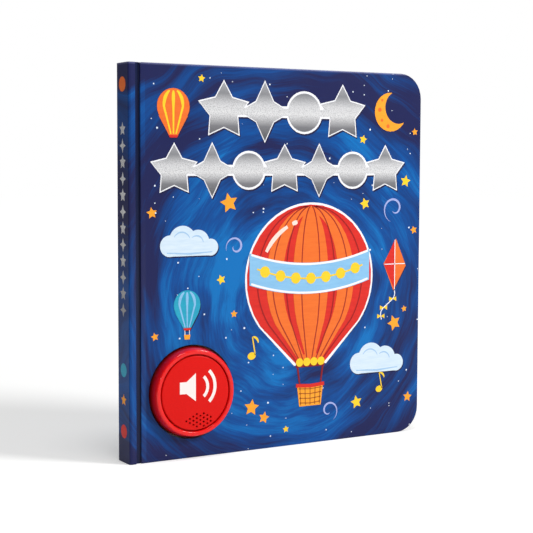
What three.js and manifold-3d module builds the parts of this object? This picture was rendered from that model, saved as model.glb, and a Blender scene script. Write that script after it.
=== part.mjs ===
// Sound book: a cased children's board book with one big press button on its front cover.
// Millimetres, +Z up. The book stands closed on its lower edge, front cover facing -Y, spine at -X.
// The sound unit is fixed in the back cover and stands through die-cut holes in the pages and the
// front cover. Both covers turn on the grooves beside the spine, and the button slides inwards.

import * as THREE from 'three';
import { mergeVertices } from 'three/addons/utils/BufferGeometryUtils.js';
import Module from 'manifold-3d';

const wasm = await Module();
wasm.setup();

// Book case
const coverHeight = 264;
const coverWidth = 236;
const bookThickness = 18.6;
const coverCornerRadius = 18;
const hingeCornerRadius = 1.5;
const coverEdgeRounding = 0.6;
const boardThickness = 2;
const wrapThickness = 0.25;
const turnInWidth = 15;
const glueLine = 0.05;

// Spine and hinge grooves
const shoulderWidth = 5.3;
const shoulderDrop = 0.2;
const grooveWidth = 3.2;
const grooveDepth = 1.6;
const spineBoardThickness = 2;
const spineCornerRadius = 1;
const shoulderCornerRadius = 0.8;
const hingeGap = 0.3;

// Pages
const pageSquare = 3;
const pageCornerRadius = 16;
const pastedLeafThickness = 1.8;
const freeLeafCount = 5;
const leafEdgeRounding = 0.25;
const pageGap = 0.3;

// Sound unit: its place on the cover, and its outside
const buttonFromSpine = 45.8;
const buttonFromFoot = 45.1;
const buttonProud = 6.6;
const housingRadius = 30.9;
const rimOuterRadius = 29.2;
const rimInnerRadius = 26.1;
const rimRounding = 0.9;
const rimDepth = 3.4;
const housingWall = 1.8;
const rimWallThickness = 1.9;
const flangeRadius = 36;
const flangeThickness = 1;

// Holes that the sound unit stands in, and the play around it
const coverHoleRadius = 32;
const pageHoleRadius = 33.8;
const fixedHoleClearance = 0.4;
const fitClearance = 0.3;

// Press button
const discRadius = 25.2;
const discThickness = 1.6;
const discSetBack = 0.4;
const discRounding = 0.5;
const skirtWall = 1.4;
const skirtDepth = 2.7;
const lipWidth = 1.7;
const lipThickness = 1;
const buttonTravel = 1;
const pressBossRadius = 2.2;

// Speaker grille: a staggered field of small holes below the middle of the disc
const grilleHoleRadius = 0.65;
const grilleColumnPitch = 2.65;
const grilleRowPitch = 2.8;
const grilleColumns = 8;
const grilleOffsetX = 2.2;
const grilleOffsetZ = -18.6;
const grilleHalfWidth = 10.6;
const grilleHalfHeight = 5.2;

// Speaker
const speakerOffsetZ = -16.6;
const speakerRadius = 10.6;
const speakerTubeWall = 1.5;
const speakerSeatMargin = 0.2;
const speakerFlangeThickness = 1.2;
const speakerTubeFromFlange = 9.5;
const magnetRadius = 5;
const magnetThickness = 3.2;
const basketDepth = 4;
const basketWall = 0.6;
const basketFootWidth = 2;
const coneRimWidth = 1.6;
const coneDepth = 1.3;
const coneThickness = 0.4;
const dustCapRadius = 2.4;

// Circuit board and switch
const circuitThickness = 1.6;
const circuitRadius = 22.5;
const circuitLowerEdge = -4.8;
const circuitFromFlange = 8.4;
const circuitPostRadius = 1.9;
const circuitPostX = 13;
const circuitPostZ = 16;
const switchSize = 6;
const switchHeight = 3.2;
const switchBoreRadius = 1.9;
const plungerRadius = 1.6;
const plungerSunk = 1.4;
const plungerPlay = 0.2;
const chipRadius = 4;
const chipHeight = 1.4;

// Return spring
const springRadius = 5.3;
const springWireRadius = 0.35;
const springTurns = 6;

// Cells and their compartment
const cellDiameter = 11.6;
const cellThickness = 5.4;
const cellCount = 3;
const cellGap = 0.6;
const cellChamfer = 0.4;
const contactThickness = 0.3;
const contactWidth = 5;
const contactEndGap = 2;
const contactPlay = 0.3;
const tubWall = 1.2;
const tubCornerRadius = 1;
const doorWidth = 50;
const doorHeight = 17;
const doorThickness = 1;
const doorSetBack = 0.1;
const doorCornerRadius = 2;
const doorScrewFromEnd = 5.5;
const doorScrewSeat = 0.5;
const doorScrewHeadHeight = 0.45;
const spigotThickness = 1.4;

// Screws
const screwHeadRadius = 2.1;
const screwHeadHeight = 1;
const screwShankRadius = 0.9;
const screwSlotWidth = 0.6;
const screwLength = 7;
const bossRadius = 2.6;
const bossSunk = 0.5;
const housingBossAngles = [90, 205, 335];

// Wires from the circuit board to the speaker
const wireRadius = 0.5;
const wireSpread = 3;

// Cover print: an artboard of this size is scaled to the panel beside the groove
const artboardWidth = 227.5;
const artboardHeight = 264;
const inkThickness = 0.12;
const foilThickness = 0.2;
const backgroundInk = 0.06;
const printMargin = 0.5;
const foilOutline = 1.6;

// Smoothness of round forms
const roundSides = 44;
const smallSides = 14;
const tinySides = 8;

// Places worked out from the sizes above
const coverThickness = boardThickness + 2 * (wrapThickness + glueLine);
const overallDepth = bookThickness + buttonProud;
const spineX = -coverWidth / 2;
const foreEdgeX = coverWidth / 2;
const frontY = -overallDepth / 2 + buttonProud;
const backY = overallDepth / 2;
const buttonFaceY = frontY - buttonProud;
const spineInsideX = spineX + inkThickness + wrapThickness + glueLine + spineBoardThickness;
const hingeEdgeX = spineX + shoulderWidth + grooveWidth;
const frontInsideY = frontY + coverThickness;
const backInsideY = backY - coverThickness;
const blockFrontY = frontInsideY + pastedLeafThickness;
const blockBackY = backInsideY - pastedLeafThickness;
const buttonX = spineX + buttonFromSpine;
const buttonZ = buttonFromFoot;
const flangeFrontY = backInsideY - flangeThickness;
const spigotFrontY = flangeFrontY - spigotThickness;
const housingInnerRadius = housingRadius - housingWall;
const wallTaper = (housingRadius - rimOuterRadius) / buttonProud;
const throatRadius = rimOuterRadius + wallTaper * rimDepth - rimWallThickness;
const spigotRadius = housingInnerRadius - fitClearance;
const discFaceY = buttonFaceY + discSetBack;
const discBackY = discFaceY + discThickness;
const plungerProud = buttonTravel + fitClearance;
const circuitBackY = flangeFrontY - circuitFromFlange;
const circuitFrontY = circuitBackY - circuitThickness;
const doorBackY = backY - doorSetBack;
const doorFrontY = doorBackY - doorThickness;

const book = new THREE.Group();
book.name = 'sound_book';

// Shared modelling helpers

// A closed geometry, with its shared corners merged, as a solid that can be joined and cut.
function solid(geometry) {
  const bare = geometry.clone();
  bare.deleteAttribute('normal');
  bare.deleteAttribute('uv');
  const merged = mergeVertices(bare, 1e-4);
  const vertProperties = new Float32Array(merged.attributes.position.array);
  const triVerts = new Uint32Array(merged.index.array);
  const made = new wasm.Manifold(new wasm.Mesh({ numProp: 3, vertProperties, triVerts }));
  if (made.volume() > 0) return made;
  for (let i = 0; i < triVerts.length; i += 3) {
    [triVerts[i + 1], triVerts[i + 2]] = [triVerts[i + 2], triVerts[i + 1]];
  }
  return new wasm.Manifold(new wasm.Mesh({ numProp: 3, vertProperties, triVerts }));
}

function join(...solids) {
  return solids.reduce((whole, next) => whole.add(next));
}

function addPart(name, shape, material) {
  const mesh = shape.getMesh();
  const geometry = new THREE.BufferGeometry();
  geometry.setAttribute('position', new THREE.BufferAttribute(new Float32Array(mesh.vertProperties), 3));
  geometry.setIndex(new THREE.BufferAttribute(new Uint32Array(mesh.triVerts), 1));
  const faceted = geometry.toNonIndexed();
  faceted.computeVertexNormals();
  const part = new THREE.Mesh(faceted, material);
  part.name = name;
  book.add(part);
}

function finish(color, roughness, metalness = 0) {
  return new THREE.MeshStandardMaterial({ color, roughness, metalness });
}

// A flat outline drawn in X and Z, given thickness from one depth to another.
function plate(outline, fromY, toY, rounding = 0, roundingSteps = 1) {
  const geometry = new THREE.ExtrudeGeometry(outline, {
    depth: toY - fromY - 2 * rounding,
    bevelEnabled: rounding > 0,
    bevelThickness: rounding,
    bevelSize: rounding,
    bevelOffset: -rounding,
    bevelSegments: roundingSteps,
  });
  geometry.rotateX(Math.PI / 2);
  geometry.translate(0, toY - rounding, 0);
  return solid(geometry);
}

// An outline drawn in X and Y, given height from one level to another.
function column(outline, fromZ, toZ) {
  const geometry = new THREE.ExtrudeGeometry(outline, { depth: toZ - fromZ, bevelEnabled: false });
  geometry.translate(0, 0, fromZ);
  return solid(geometry);
}

// A stretch of a circle between two directions, as pairs of coordinates.
function arcPoints(centreA, centreB, radius, fromDegrees, toDegrees, steps = 3) {
  return Array.from({ length: steps + 1 }, (_, i) => {
    const angle = THREE.MathUtils.degToRad(fromDegrees + ((toDegrees - fromDegrees) * i) / steps);
    return [centreA + radius * Math.cos(angle), centreB + radius * Math.sin(angle)];
  });
}

function outlineOf(points) {
  return new THREE.Shape(points.map(([a, b]) => new THREE.Vector2(a, b)));
}

// A rectangle with one radius on its left corners and another on its right ones. Large corners
// get more steps than small ones.
function panelOutline(left, right, bottom, top, leftRadius, rightRadius) {
  const steps = (radius) => Math.max(1, Math.round(2 * Math.sqrt(radius)));
  return outlineOf([
    ...arcPoints(right - rightRadius, bottom + rightRadius, rightRadius, -90, 0, steps(rightRadius)),
    ...arcPoints(right - rightRadius, top - rightRadius, rightRadius, 0, 90, steps(rightRadius)),
    ...arcPoints(left + leftRadius, top - leftRadius, leftRadius, 90, 180, steps(leftRadius)),
    ...arcPoints(left + leftRadius, bottom + leftRadius, leftRadius, 180, 270, steps(leftRadius)),
  ]);
}

// A turned form about the button's axis: the profile holds radius and depth pairs.
function turned(profile, offsetX = 0, offsetZ = 0, sides = roundSides) {
  const points = profile.map(([radius, y]) => new THREE.Vector2(radius, y));
  const geometry = new THREE.LatheGeometry([...points, points[0]], sides);
  geometry.translate(buttonX + offsetX, 0, buttonZ + offsetZ);
  return solid(geometry);
}

function disc(radius, fromY, toY, offsetX = 0, offsetZ = 0, sides = smallSides) {
  const geometry = new THREE.CylinderGeometry(radius, radius, toY - fromY, sides);
  geometry.translate(buttonX + offsetX, (fromY + toY) / 2, buttonZ + offsetZ);
  return solid(geometry);
}

// Covers: a grey board inside one printed sheet, which is folded in round its edges

const printedPaper = finish(0x242c66, 0.42);
const greyBoard = finish(0x8d8578, 0.95);
const pagePaper = finish(0xf1efe9, 0.7);

function coverOutline(inset) {
  return panelOutline(
    hingeEdgeX + inset,
    foreEdgeX - inset,
    inset,
    coverHeight - inset,
    hingeCornerRadius - inset,
    coverCornerRadius - inset,
  );
}

function turnInWindow(fromY, toY) {
  const outline = panelOutline(
    hingeEdgeX + wrapThickness,
    foreEdgeX - turnInWidth,
    turnInWidth,
    coverHeight - turnInWidth,
    hingeCornerRadius,
    coverCornerRadius - wrapThickness,
  );
  return plate(outline, fromY, toY);
}

function coverWrap(outerY, inwards) {
  const innerY = outerY + inwards * coverThickness;
  const low = Math.min(outerY, innerY);
  const high = Math.max(outerY, innerY);
  const skin = plate(coverOutline(0), low, high, coverEdgeRounding, 2);
  const hollow = plate(
    coverOutline(wrapThickness),
    low + wrapThickness,
    high - wrapThickness,
    coverEdgeRounding - wrapThickness,
  );
  const middle = (low + high) / 2;
  const window = inwards > 0 ? turnInWindow(middle, high + 1) : turnInWindow(low - 1, middle);
  return skin.subtract(hollow).subtract(window);
}

function coverBoard(outerY, inwards) {
  const skin = wrapThickness + glueLine;
  const outer = outerY + inwards * skin;
  const inner = outerY + inwards * (coverThickness - skin);
  const outline = coverOutline(skin);
  return plate(outline, Math.min(outer, inner), Math.max(outer, inner), coverEdgeRounding - wrapThickness);
}

function pageOutline(leftX) {
  return panelOutline(
    leftX,
    foreEdgeX - pageSquare,
    pageSquare,
    coverHeight - pageSquare,
    hingeCornerRadius / 2,
    pageCornerRadius,
  );
}

const coverHole = disc(coverHoleRadius, frontY - 1, frontInsideY + 1, 0, 0, roundSides);
const pageHole = disc(pageHoleRadius, frontInsideY - 1, backInsideY, 0, 0, roundSides);

addPart('front_board', coverBoard(frontY, 1).subtract(coverHole), greyBoard);
addPart('front_wrap', coverWrap(frontY, 1).subtract(coverHole), printedPaper);
addPart(
  'front_pasted_leaf',
  plate(pageOutline(hingeEdgeX), frontInsideY, blockFrontY, leafEdgeRounding).subtract(pageHole),
  pagePaper,
);

// Pages: thick board leaves pressed into one block, with a fine groove between each two leaves

function pageBlock() {
  const leafThickness = (blockBackY - blockFrontY) / freeLeafCount;
  const spineSideX = spineInsideX + pageGap;
  const outline = pageOutline(spineSideX);
  const leaves = Array.from({ length: freeLeafCount }, (_, i) => {
    const leafY = blockFrontY + i * leafThickness;
    return plate(outline, leafY, leafY + leafThickness, leafEdgeRounding);
  });
  const foldedBack = plate(
    panelOutline(
      spineSideX,
      hingeEdgeX - hingeGap,
      pageSquare,
      coverHeight - pageSquare,
      hingeCornerRadius / 2,
      hingeCornerRadius / 2,
    ),
    frontInsideY + glueLine,
    backInsideY - glueLine,
  );
  return join(...leaves, foldedBack).subtract(pageHole);
}

addPart('page_block', pageBlock(), pagePaper);

// Spine: a board channel under its own stretch of the printed sheet, which dips into the grooves

// Half of the spine's section, front side, at a distance below the outer surface.
function spineHalf(inset) {
  const top = frontY + shoulderDrop + inset;
  const wall = spineX + shoulderWidth - inset;
  const panel = spineX + inkThickness + inset;
  const shoulder = shoulderCornerRadius - inset;
  const corner = spineCornerRadius - inset;
  const points = arcPoints(wall - shoulder, top + shoulder, shoulder, 0, -90);
  points.push(...arcPoints(panel + corner, top + corner, corner, -90, -180));
  return points;
}

function mirrored(points) {
  const middle = frontY + bookThickness / 2;
  return points.map(([x, y]) => [x, 2 * middle - y]).reverse();
}

function spineBoard() {
  const skin = wrapThickness + glueLine;
  const flangeInsideY = frontInsideY - glueLine;
  const outer = [[spineX + shoulderWidth - skin, flangeInsideY], ...spineHalf(skin)];
  const outline = outlineOf([...outer, ...mirrored(outer)]);
  const channel = column(outline, skin, coverHeight - skin);
  const hollowOutline = panelOutline(
    spineInsideX,
    hingeEdgeX,
    flangeInsideY,
    2 * frontY + bookThickness - flangeInsideY,
    0.2,
    0.2,
  );
  return channel.subtract(column(hollowOutline, -1, coverHeight + 1));
}

function spineWrap() {
  const grooveX = hingeEdgeX - hingeGap;
  const grooveY = frontY + grooveDepth;
  const wallX = spineX + shoulderWidth;
  const outside = [[grooveX, grooveY], [wallX, grooveY], ...spineHalf(0)];
  const inside = [
    [grooveX, grooveY + wrapThickness],
    [wallX - wrapThickness, grooveY + wrapThickness],
    ...spineHalf(wrapThickness),
  ];
  const sheetLoop = [...outside, ...mirrored(outside), ...mirrored(inside).reverse(), ...inside.reverse()];
  const sheet = column(outlineOf(sheetLoop), 0, coverHeight);
  const capHalf = [[spineX + shoulderWidth - wrapThickness / 2, grooveY], ...spineHalf(wrapThickness / 2)];
  const foldedOver = column(outlineOf([...capHalf, ...mirrored(capHalf)]), 0, coverHeight);
  const cleared = column(
    panelOutline(
      spineInsideX,
      hingeEdgeX,
      frontInsideY - glueLine,
      2 * frontY + bookThickness - frontInsideY + glueLine,
      0.2,
      0.2,
    ),
    -1,
    coverHeight + 1,
  );
  const betweenEnds = column(
    panelOutline(spineX - 1, hingeEdgeX + 1, frontY - 1, backY + 1, 0.2, 0.2),
    wrapThickness,
    coverHeight - wrapThickness,
  );
  return sheet.add(foldedOver.subtract(cleared).subtract(betweenEnds));
}

addPart('spine_board', spineBoard(), greyBoard);
addPart('spine_wrap', spineWrap(), printedPaper);

// Back cover: a window in the board lets the battery door show, flush with the sheet

const doorFrameWidth = doorWidth + 2 * (fitClearance + tubWall);
const doorFrameHeight = doorHeight + 2 * (fitClearance + tubWall);

function buttonRectangle(width, height, radius, offsetX = 0) {
  const left = buttonX + offsetX - width / 2;
  const bottom = buttonZ - height / 2;
  return panelOutline(left, left + width, bottom, bottom + height, radius, radius);
}

const batteryWindow = plate(
  buttonRectangle(
    doorFrameWidth + 2 * fitClearance,
    doorFrameHeight + 2 * fitClearance,
    doorCornerRadius + tubWall + 2 * fitClearance,
  ),
  backInsideY - 1,
  backY + 1,
);

addPart('back_board', coverBoard(backY, -1).subtract(batteryWindow), greyBoard);
addPart('back_wrap', coverWrap(backY, -1).subtract(batteryWindow), printedPaper);

// The leaf pasted on the back cover traps the sound unit's flange against the board.
function backPastedLeaf() {
  const leaf = plate(pageOutline(hingeEdgeX), blockBackY, backInsideY, leafEdgeRounding);
  const throughHole = disc(housingRadius + fixedHoleClearance, blockBackY - 1, backY, 0, 0, roundSides);
  const flangeSeat = disc(
    flangeRadius + fitClearance,
    flangeFrontY - glueLine,
    backY,
    0,
    0,
    roundSides,
  );
  return leaf.subtract(throughHole).subtract(flangeSeat);
}

addPart('back_pasted_leaf', backPastedLeaf(), pagePaper);

// Sound unit base: flange, battery tub, speaker tube and posts moulded as one piece

const redPlastic = finish(0xd91d1c, 0.25);
const blackPlastic = finish(0x1d1d20, 0.5);
const brightMetal = finish(0xc9ccd1, 0.28, 1);
const cellRowLength = cellCount * cellDiameter + (cellCount + 1) * cellGap;
const tubHeight = cellDiameter + 2 * cellGap;
const tubOffsetX = -(doorWidth / 2 - cellRowLength / 2 - tubWall - fitClearance);
const doorScrewX = doorWidth / 2 - doorScrewFromEnd;
const cellBackY = doorFrontY - 2 * contactPlay - contactThickness;
const cellFrontY = cellBackY - cellThickness;
const tubFloorY = cellFrontY - 2 * contactPlay - contactThickness;
const speakerTubeY = flangeFrontY - speakerTubeFromFlange;
const speakerTubeRadius = speakerRadius + speakerSeatMargin;
const bossDistance = housingInnerRadius - bossRadius + bossSunk;

function bossPlace(angle) {
  const turn = THREE.MathUtils.degToRad(angle);
  return [bossDistance * Math.cos(turn), bossDistance * Math.sin(turn)];
}

function soundBase() {
  const flange = disc(flangeRadius, flangeFrontY, backInsideY, 0, 0, roundSides);
  const spigot = disc(spigotRadius, spigotFrontY, backInsideY, 0, 0, roundSides);
  const tubOutline = buttonRectangle(
    cellRowLength + 2 * tubWall,
    tubHeight + 2 * tubWall,
    tubCornerRadius + tubWall,
    tubOffsetX,
  );
  const tub = plate(tubOutline, tubFloorY - tubWall, backInsideY);
  const frameOutline = buttonRectangle(doorFrameWidth, doorFrameHeight, doorCornerRadius + tubWall);
  const frame = plate(frameOutline, backInsideY - flangeThickness / 2, doorBackY);
  const speakerTube = disc(speakerTubeRadius, speakerTubeY, backInsideY, 0, speakerOffsetZ, roundSides / 2);
  const speakerWell = disc(
    speakerTubeRadius - speakerTubeWall,
    speakerTubeY - 1,
    spigotFrontY,
    0,
    speakerOffsetZ,
    roundSides / 2,
  );
  const doorBoss = disc(bossRadius, doorFrontY - screwLength - 1, backInsideY, doorScrewX, 0);
  const posts = [-circuitPostX, circuitPostX].map((x) =>
    disc(circuitPostRadius, circuitBackY, backInsideY, x, circuitPostZ, tinySides));
  const floor = join(flange, spigot, speakerTube).subtract(speakerWell);
  const body = join(floor, tub, frame, doorBoss, ...posts);
  const cuts = [
    plate(buttonRectangle(cellRowLength, tubHeight, tubCornerRadius, tubOffsetX), tubFloorY, backY + 1),
    plate(
      buttonRectangle(
        doorWidth + 2 * fitClearance,
        doorHeight + 2 * fitClearance,
        doorCornerRadius + fitClearance,
      ),
      doorFrontY,
      backY + 1,
    ),
    disc(screwShankRadius + fitClearance, doorFrontY - screwLength, backY, doorScrewX, 0, tinySides),
  ];
  for (const x of [-circuitPostX, circuitPostX]) {
    const holeEnd = circuitBackY + screwLength;
    cuts.push(disc(screwShankRadius + fitClearance, circuitBackY - 1, holeEnd, x, circuitPostZ, tinySides));
  }
  for (const angle of housingBossAngles) {
    const [x, z] = bossPlace(angle);
    cuts.push(disc(screwShankRadius + fitClearance, spigotFrontY - 1, backY, x, z, tinySides));
    const seat = backInsideY - screwHeadHeight - fitClearance;
    cuts.push(disc(screwHeadRadius + fitClearance, seat, backY, x, z, tinySides));
  }
  return cuts.reduce((whole, cut) => whole.subtract(cut), body);
}

addPart('sound_unit_base', soundBase(), blackPlastic);

// Button housing: the red drum that stands through the book, with a rounded rim and a screw boss
// for each screw of the base

function buttonHousing() {
  const throatBackY = buttonFaceY + rimDepth;
  const wallStepY = frontY + rimRounding;
  const profile = [
    [housingInnerRadius, flangeFrontY],
    [housingInnerRadius, wallStepY],
    [throatRadius, wallStepY - rimRounding],
    [throatRadius, throatBackY],
    [rimInnerRadius, throatBackY],
    ...arcPoints(rimInnerRadius + rimRounding, buttonFaceY + rimRounding, rimRounding, -180, -90),
    ...arcPoints(rimOuterRadius - rimRounding, buttonFaceY + rimRounding, rimRounding, -90, -14),
    [housingRadius, frontY],
    [housingRadius, flangeFrontY],
  ];
  let housing = turned(profile);
  for (const angle of housingBossAngles) {
    const [x, z] = bossPlace(angle);
    const bossEndY = spigotFrontY - screwLength - 1;
    const boss = disc(bossRadius, bossEndY, spigotFrontY, x, z, tinySides);
    const hole = disc(screwShankRadius + fitClearance, bossEndY + 1, spigotFrontY + 1, x, z, tinySides);
    const inside = disc(housingInnerRadius + housingWall / 2, bossEndY - 1, spigotFrontY, 0, 0, roundSides);
    housing = housing.add(boss.intersect(inside)).subtract(hole);
  }
  return housing;
}

addPart('button_housing', buttonHousing(), redPlastic);

// Button disc: a shallow cap with a skirt, a lip that keeps it in the rim, a boss over the switch
// and the speaker grille

function grillePlaces() {
  const places = [];
  const firstColumn = -Math.floor((grilleColumns - 1) / 2);
  for (let i = firstColumn; i < firstColumn + grilleColumns; i += 1) {
    const x = grilleOffsetX - grilleColumnPitch / 2 + i * grilleColumnPitch;
    const stagger = Math.abs(i % 2) / 2;
    for (let j = -2; j <= 2; j += 1) {
      const rise = (j + 0.5 - stagger) * grilleRowPitch;
      const across = (x - grilleOffsetX) / grilleHalfWidth;
      if (across ** 2 + (rise / grilleHalfHeight) ** 2 < 1) places.push([x, grilleOffsetZ + rise]);
    }
  }
  return places;
}

function buttonDisc() {
  const skirtEndY = discBackY + skirtDepth;
  const profile = [
    [0, discFaceY],
    ...arcPoints(discRadius - discRounding, discFaceY + discRounding, discRounding, -90, 0),
    [discRadius, skirtEndY - lipThickness],
    [discRadius + lipWidth, skirtEndY - lipThickness],
    [discRadius + lipWidth, skirtEndY],
    [discRadius - skirtWall, skirtEndY],
    [discRadius - skirtWall, discBackY],
    [0, discBackY],
  ];
  const bossEndY = circuitFrontY - switchHeight - plungerProud - glueLine;
  let cap = turned(profile).add(disc(pressBossRadius, discFaceY + discThickness / 2, bossEndY));
  for (const [x, z] of grillePlaces()) {
    cap = cap.subtract(disc(grilleHoleRadius, discFaceY - 1, discBackY + 1, x, z, 8));
  }
  return cap;
}

addPart('button_disc', buttonDisc(), finish(0xe0211e, 0.35));

// Return spring: a coil round the switch, between the circuit board and the back of the disc

class Coil extends THREE.Curve {
  constructor(radius, turns, fromY, toY) {
    super();
    Object.assign(this, { radius, turns, fromY, toY });
  }

  getPoint(t, target = new THREE.Vector3()) {
    const angle = 2 * Math.PI * this.turns * t;
    return target.set(
      buttonX + this.radius * Math.cos(angle),
      this.fromY + (this.toY - this.fromY) * t,
      buttonZ + this.radius * Math.sin(angle),
    );
  }
}

function wireAlong(curve, radius, steps, sides) {
  const section = outlineOf(arcPoints(0, 0, radius, 0, 360 - 360 / sides, sides - 1));
  return solid(new THREE.ExtrudeGeometry(section, { steps, extrudePath: curve, bevelEnabled: false }));
}

const springSeat = springWireRadius + glueLine;
const springCoil = new Coil(springRadius, springTurns, circuitFrontY - springSeat, discBackY + springSeat);
const stepsPerTurn = 11;
addPart(
  'return_spring',
  wireAlong(springCoil, springWireRadius, springTurns * stepsPerTurn, 5),
  brightMetal,
);

// Circuit board with its switch, its plunger and the sound chip's black drop of resin

function circuitOutline() {
  const start = THREE.MathUtils.radToDeg(Math.asin(circuitLowerEdge / circuitRadius));
  return outlineOf(arcPoints(buttonX, buttonZ, circuitRadius, start, 180 - start, roundSides / 2));
}

function circuitBoard() {
  const holes = [-circuitPostX, circuitPostX].map((x) =>
    disc(screwShankRadius + fitClearance, circuitFrontY - 1, circuitBackY + 1, x, circuitPostZ, tinySides));
  return plate(circuitOutline(), circuitFrontY, circuitBackY).subtract(join(...holes));
}

addPart('circuit_board', circuitBoard(), finish(0x1f6b3a, 0.55));
addPart(
  'sound_chip',
  turned(
    [
      [0, circuitFrontY - chipHeight],
      [chipRadius * 0.6, circuitFrontY - chipHeight * 0.85],
      [chipRadius * 0.9, circuitFrontY - chipHeight * 0.4],
      [chipRadius, circuitFrontY],
      [0, circuitFrontY],
    ],
    0,
    circuitPostZ - 2,
    smallSides,
  ),
  finish(0x101012, 0.3),
);

const switchFrontY = circuitFrontY - switchHeight;
const switchBlock = plate(buttonRectangle(switchSize, switchSize, 0.6), switchFrontY, circuitFrontY);
const switchBoreEndY = switchFrontY + plungerSunk + buttonTravel + plungerPlay;
const switchBore = disc(switchBoreRadius, switchFrontY - 1, switchBoreEndY, 0, 0, tinySides);
addPart('switch_body', switchBlock.subtract(switchBore), blackPlastic);
addPart(
  'switch_plunger',
  disc(plungerRadius, switchFrontY - plungerProud, switchFrontY + plungerSunk, 0, 0, tinySides),
  finish(0xded8c8, 0.6),
);

// Speaker: frame, cone and magnet, seated on the tube of the base

const speakerSeatY = speakerTubeY - glueLine;
const speakerFrontY = speakerSeatY - speakerFlangeThickness;
const basketRadius = speakerTubeRadius - speakerTubeWall - fitClearance;
const coneRimRadius = basketRadius - coneRimWidth;
const basketFootRadius = magnetRadius + basketWall;
const coneRadius = coneRimRadius - fitClearance;

addPart(
  'speaker_frame',
  turned(
    [
      [coneRimRadius, speakerFrontY],
      [speakerRadius, speakerFrontY],
      [speakerRadius, speakerSeatY],
      [basketRadius, speakerSeatY],
      [basketFootRadius, speakerSeatY + basketDepth],
      [magnetRadius - basketFootWidth, speakerSeatY + basketDepth],
      [magnetRadius - basketFootWidth, speakerSeatY + basketDepth - basketWall],
      [magnetRadius, speakerSeatY + basketDepth - basketWall],
      [coneRimRadius, speakerSeatY],
    ],
    0,
    speakerOffsetZ,
    roundSides / 2,
  ),
  brightMetal,
);
const coneFrontY = speakerFrontY + coneThickness;
addPart(
  'speaker_cone',
  turned(
    [
      [0, coneFrontY + coneDepth / 2],
      [dustCapRadius, coneFrontY + coneDepth],
      [coneRadius, coneFrontY],
      [coneRadius, coneFrontY + coneThickness],
      [dustCapRadius, coneFrontY + coneDepth + coneThickness],
      [0, coneFrontY + coneDepth / 2 + coneThickness],
    ],
    0,
    speakerOffsetZ,
    roundSides / 2,
  ),
  finish(0x2a2a2c, 0.7),
);
addPart(
  'speaker_magnet',
  disc(
    magnetRadius,
    speakerSeatY + basketDepth + glueLine,
    speakerSeatY + basketDepth + glueLine + magnetThickness,
    0,
    speakerOffsetZ,
    smallSides,
  ),
  finish(0x4a4c50, 0.4, 0.8),
);

// Cells in a row, with one sprung strip below them and one link strip on the door's side

const cellSteel = finish(0xd4d6d8, 0.25, 1);
const firstCellX = tubOffsetX - ((cellCount - 1) * (cellDiameter + cellGap)) / 2;
for (let i = 0; i < cellCount; i += 1) {
  const x = firstCellX + i * (cellDiameter + cellGap);
  const radius = cellDiameter / 2;
  addPart(
    `battery_cell_${i + 1}`,
    turned(
      [
        [0, cellFrontY],
        [radius - cellChamfer, cellFrontY],
        [radius, cellFrontY + cellChamfer],
        [radius, cellBackY - cellChamfer],
        [radius - cellChamfer, cellBackY],
        [0, cellBackY],
      ],
      x,
      0,
      smallSides,
    ),
    cellSteel,
  );
}

const contactLength = cellRowLength - 2 * contactEndGap;
const stripOutline = buttonRectangle(contactLength, contactWidth, contactWidth / 6, tubOffsetX);
addPart(
  'battery_contact_inner',
  plate(stripOutline, tubFloorY + contactPlay, tubFloorY + contactPlay + contactThickness),
  brightMetal,
);
addPart(
  'battery_contact_outer',
  plate(stripOutline, cellBackY + contactPlay, cellBackY + contactPlay + contactThickness),
  brightMetal,
);

// Battery door with its captive screw

function pocketedDoor() {
  const outline = buttonRectangle(doorWidth, doorHeight, doorCornerRadius);
  const slab = plate(outline, doorFrontY + glueLine, doorBackY);
  const hole = disc(screwShankRadius + fitClearance / 2, doorFrontY - 1, backY, doorScrewX, 0, tinySides);
  const seatY = doorFrontY + doorScrewSeat;
  const seat = disc(screwHeadRadius + fitClearance, seatY, backY, doorScrewX, 0, smallSides);
  return slab.subtract(hole).subtract(seat);
}

addPart('battery_door', pocketedDoor(), blackPlastic);

// A pan-head screw with a cross slot. Its head faces the side that it is driven from.
function screw(seatY, headSide, headHeight, x, z) {
  const headEnd = seatY + headSide * headHeight;
  const shankEnd = seatY - headSide * (screwLength - 1);
  const head = disc(screwHeadRadius, Math.min(seatY, headEnd), Math.max(seatY, headEnd), x, z, smallSides);
  const overlapY = seatY + headSide * headHeight * 0.5;
  const shankFrom = Math.min(shankEnd, overlapY);
  const shankTo = Math.max(shankEnd, overlapY);
  const shank = disc(screwShankRadius, shankFrom, shankTo, x, z, tinySides);
  const slotDepth = headHeight * 0.5;
  const slotY = headEnd - headSide * slotDepth;
  const slotFrom = Math.min(slotY, headEnd + headSide);
  const slotTo = Math.max(slotY, headEnd + headSide);
  const bar = (width, height) =>
    plate(
      panelOutline(
        buttonX + x - width / 2,
        buttonX + x + width / 2,
        buttonZ + z - height / 2,
        buttonZ + z + height / 2,
        screwSlotWidth / 6,
        screwSlotWidth / 6,
      ),
      slotFrom,
      slotTo,
    );
  const slotLength = screwHeadRadius * 1.3;
  const cross = bar(slotLength, screwSlotWidth).add(bar(screwSlotWidth, slotLength));
  return head.add(shank).subtract(cross);
}

addPart(
  'battery_door_screw',
  screw(doorFrontY + doorScrewSeat + glueLine, 1, doorScrewHeadHeight, doorScrewX, 0),
  brightMetal,
);
housingBossAngles.forEach((angle, i) => {
  const [x, z] = bossPlace(angle);
  const seatY = backInsideY - screwHeadHeight - fitClearance + glueLine;
  addPart(`housing_screw_${i + 1}`, screw(seatY, 1, screwHeadHeight, x, z), brightMetal);
});
[-circuitPostX, circuitPostX].forEach((x, i) => {
  const seatY = circuitFrontY - glueLine;
  addPart(`circuit_screw_${i + 1}`, screw(seatY, -1, screwHeadHeight, x, circuitPostZ), brightMetal);
});

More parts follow.
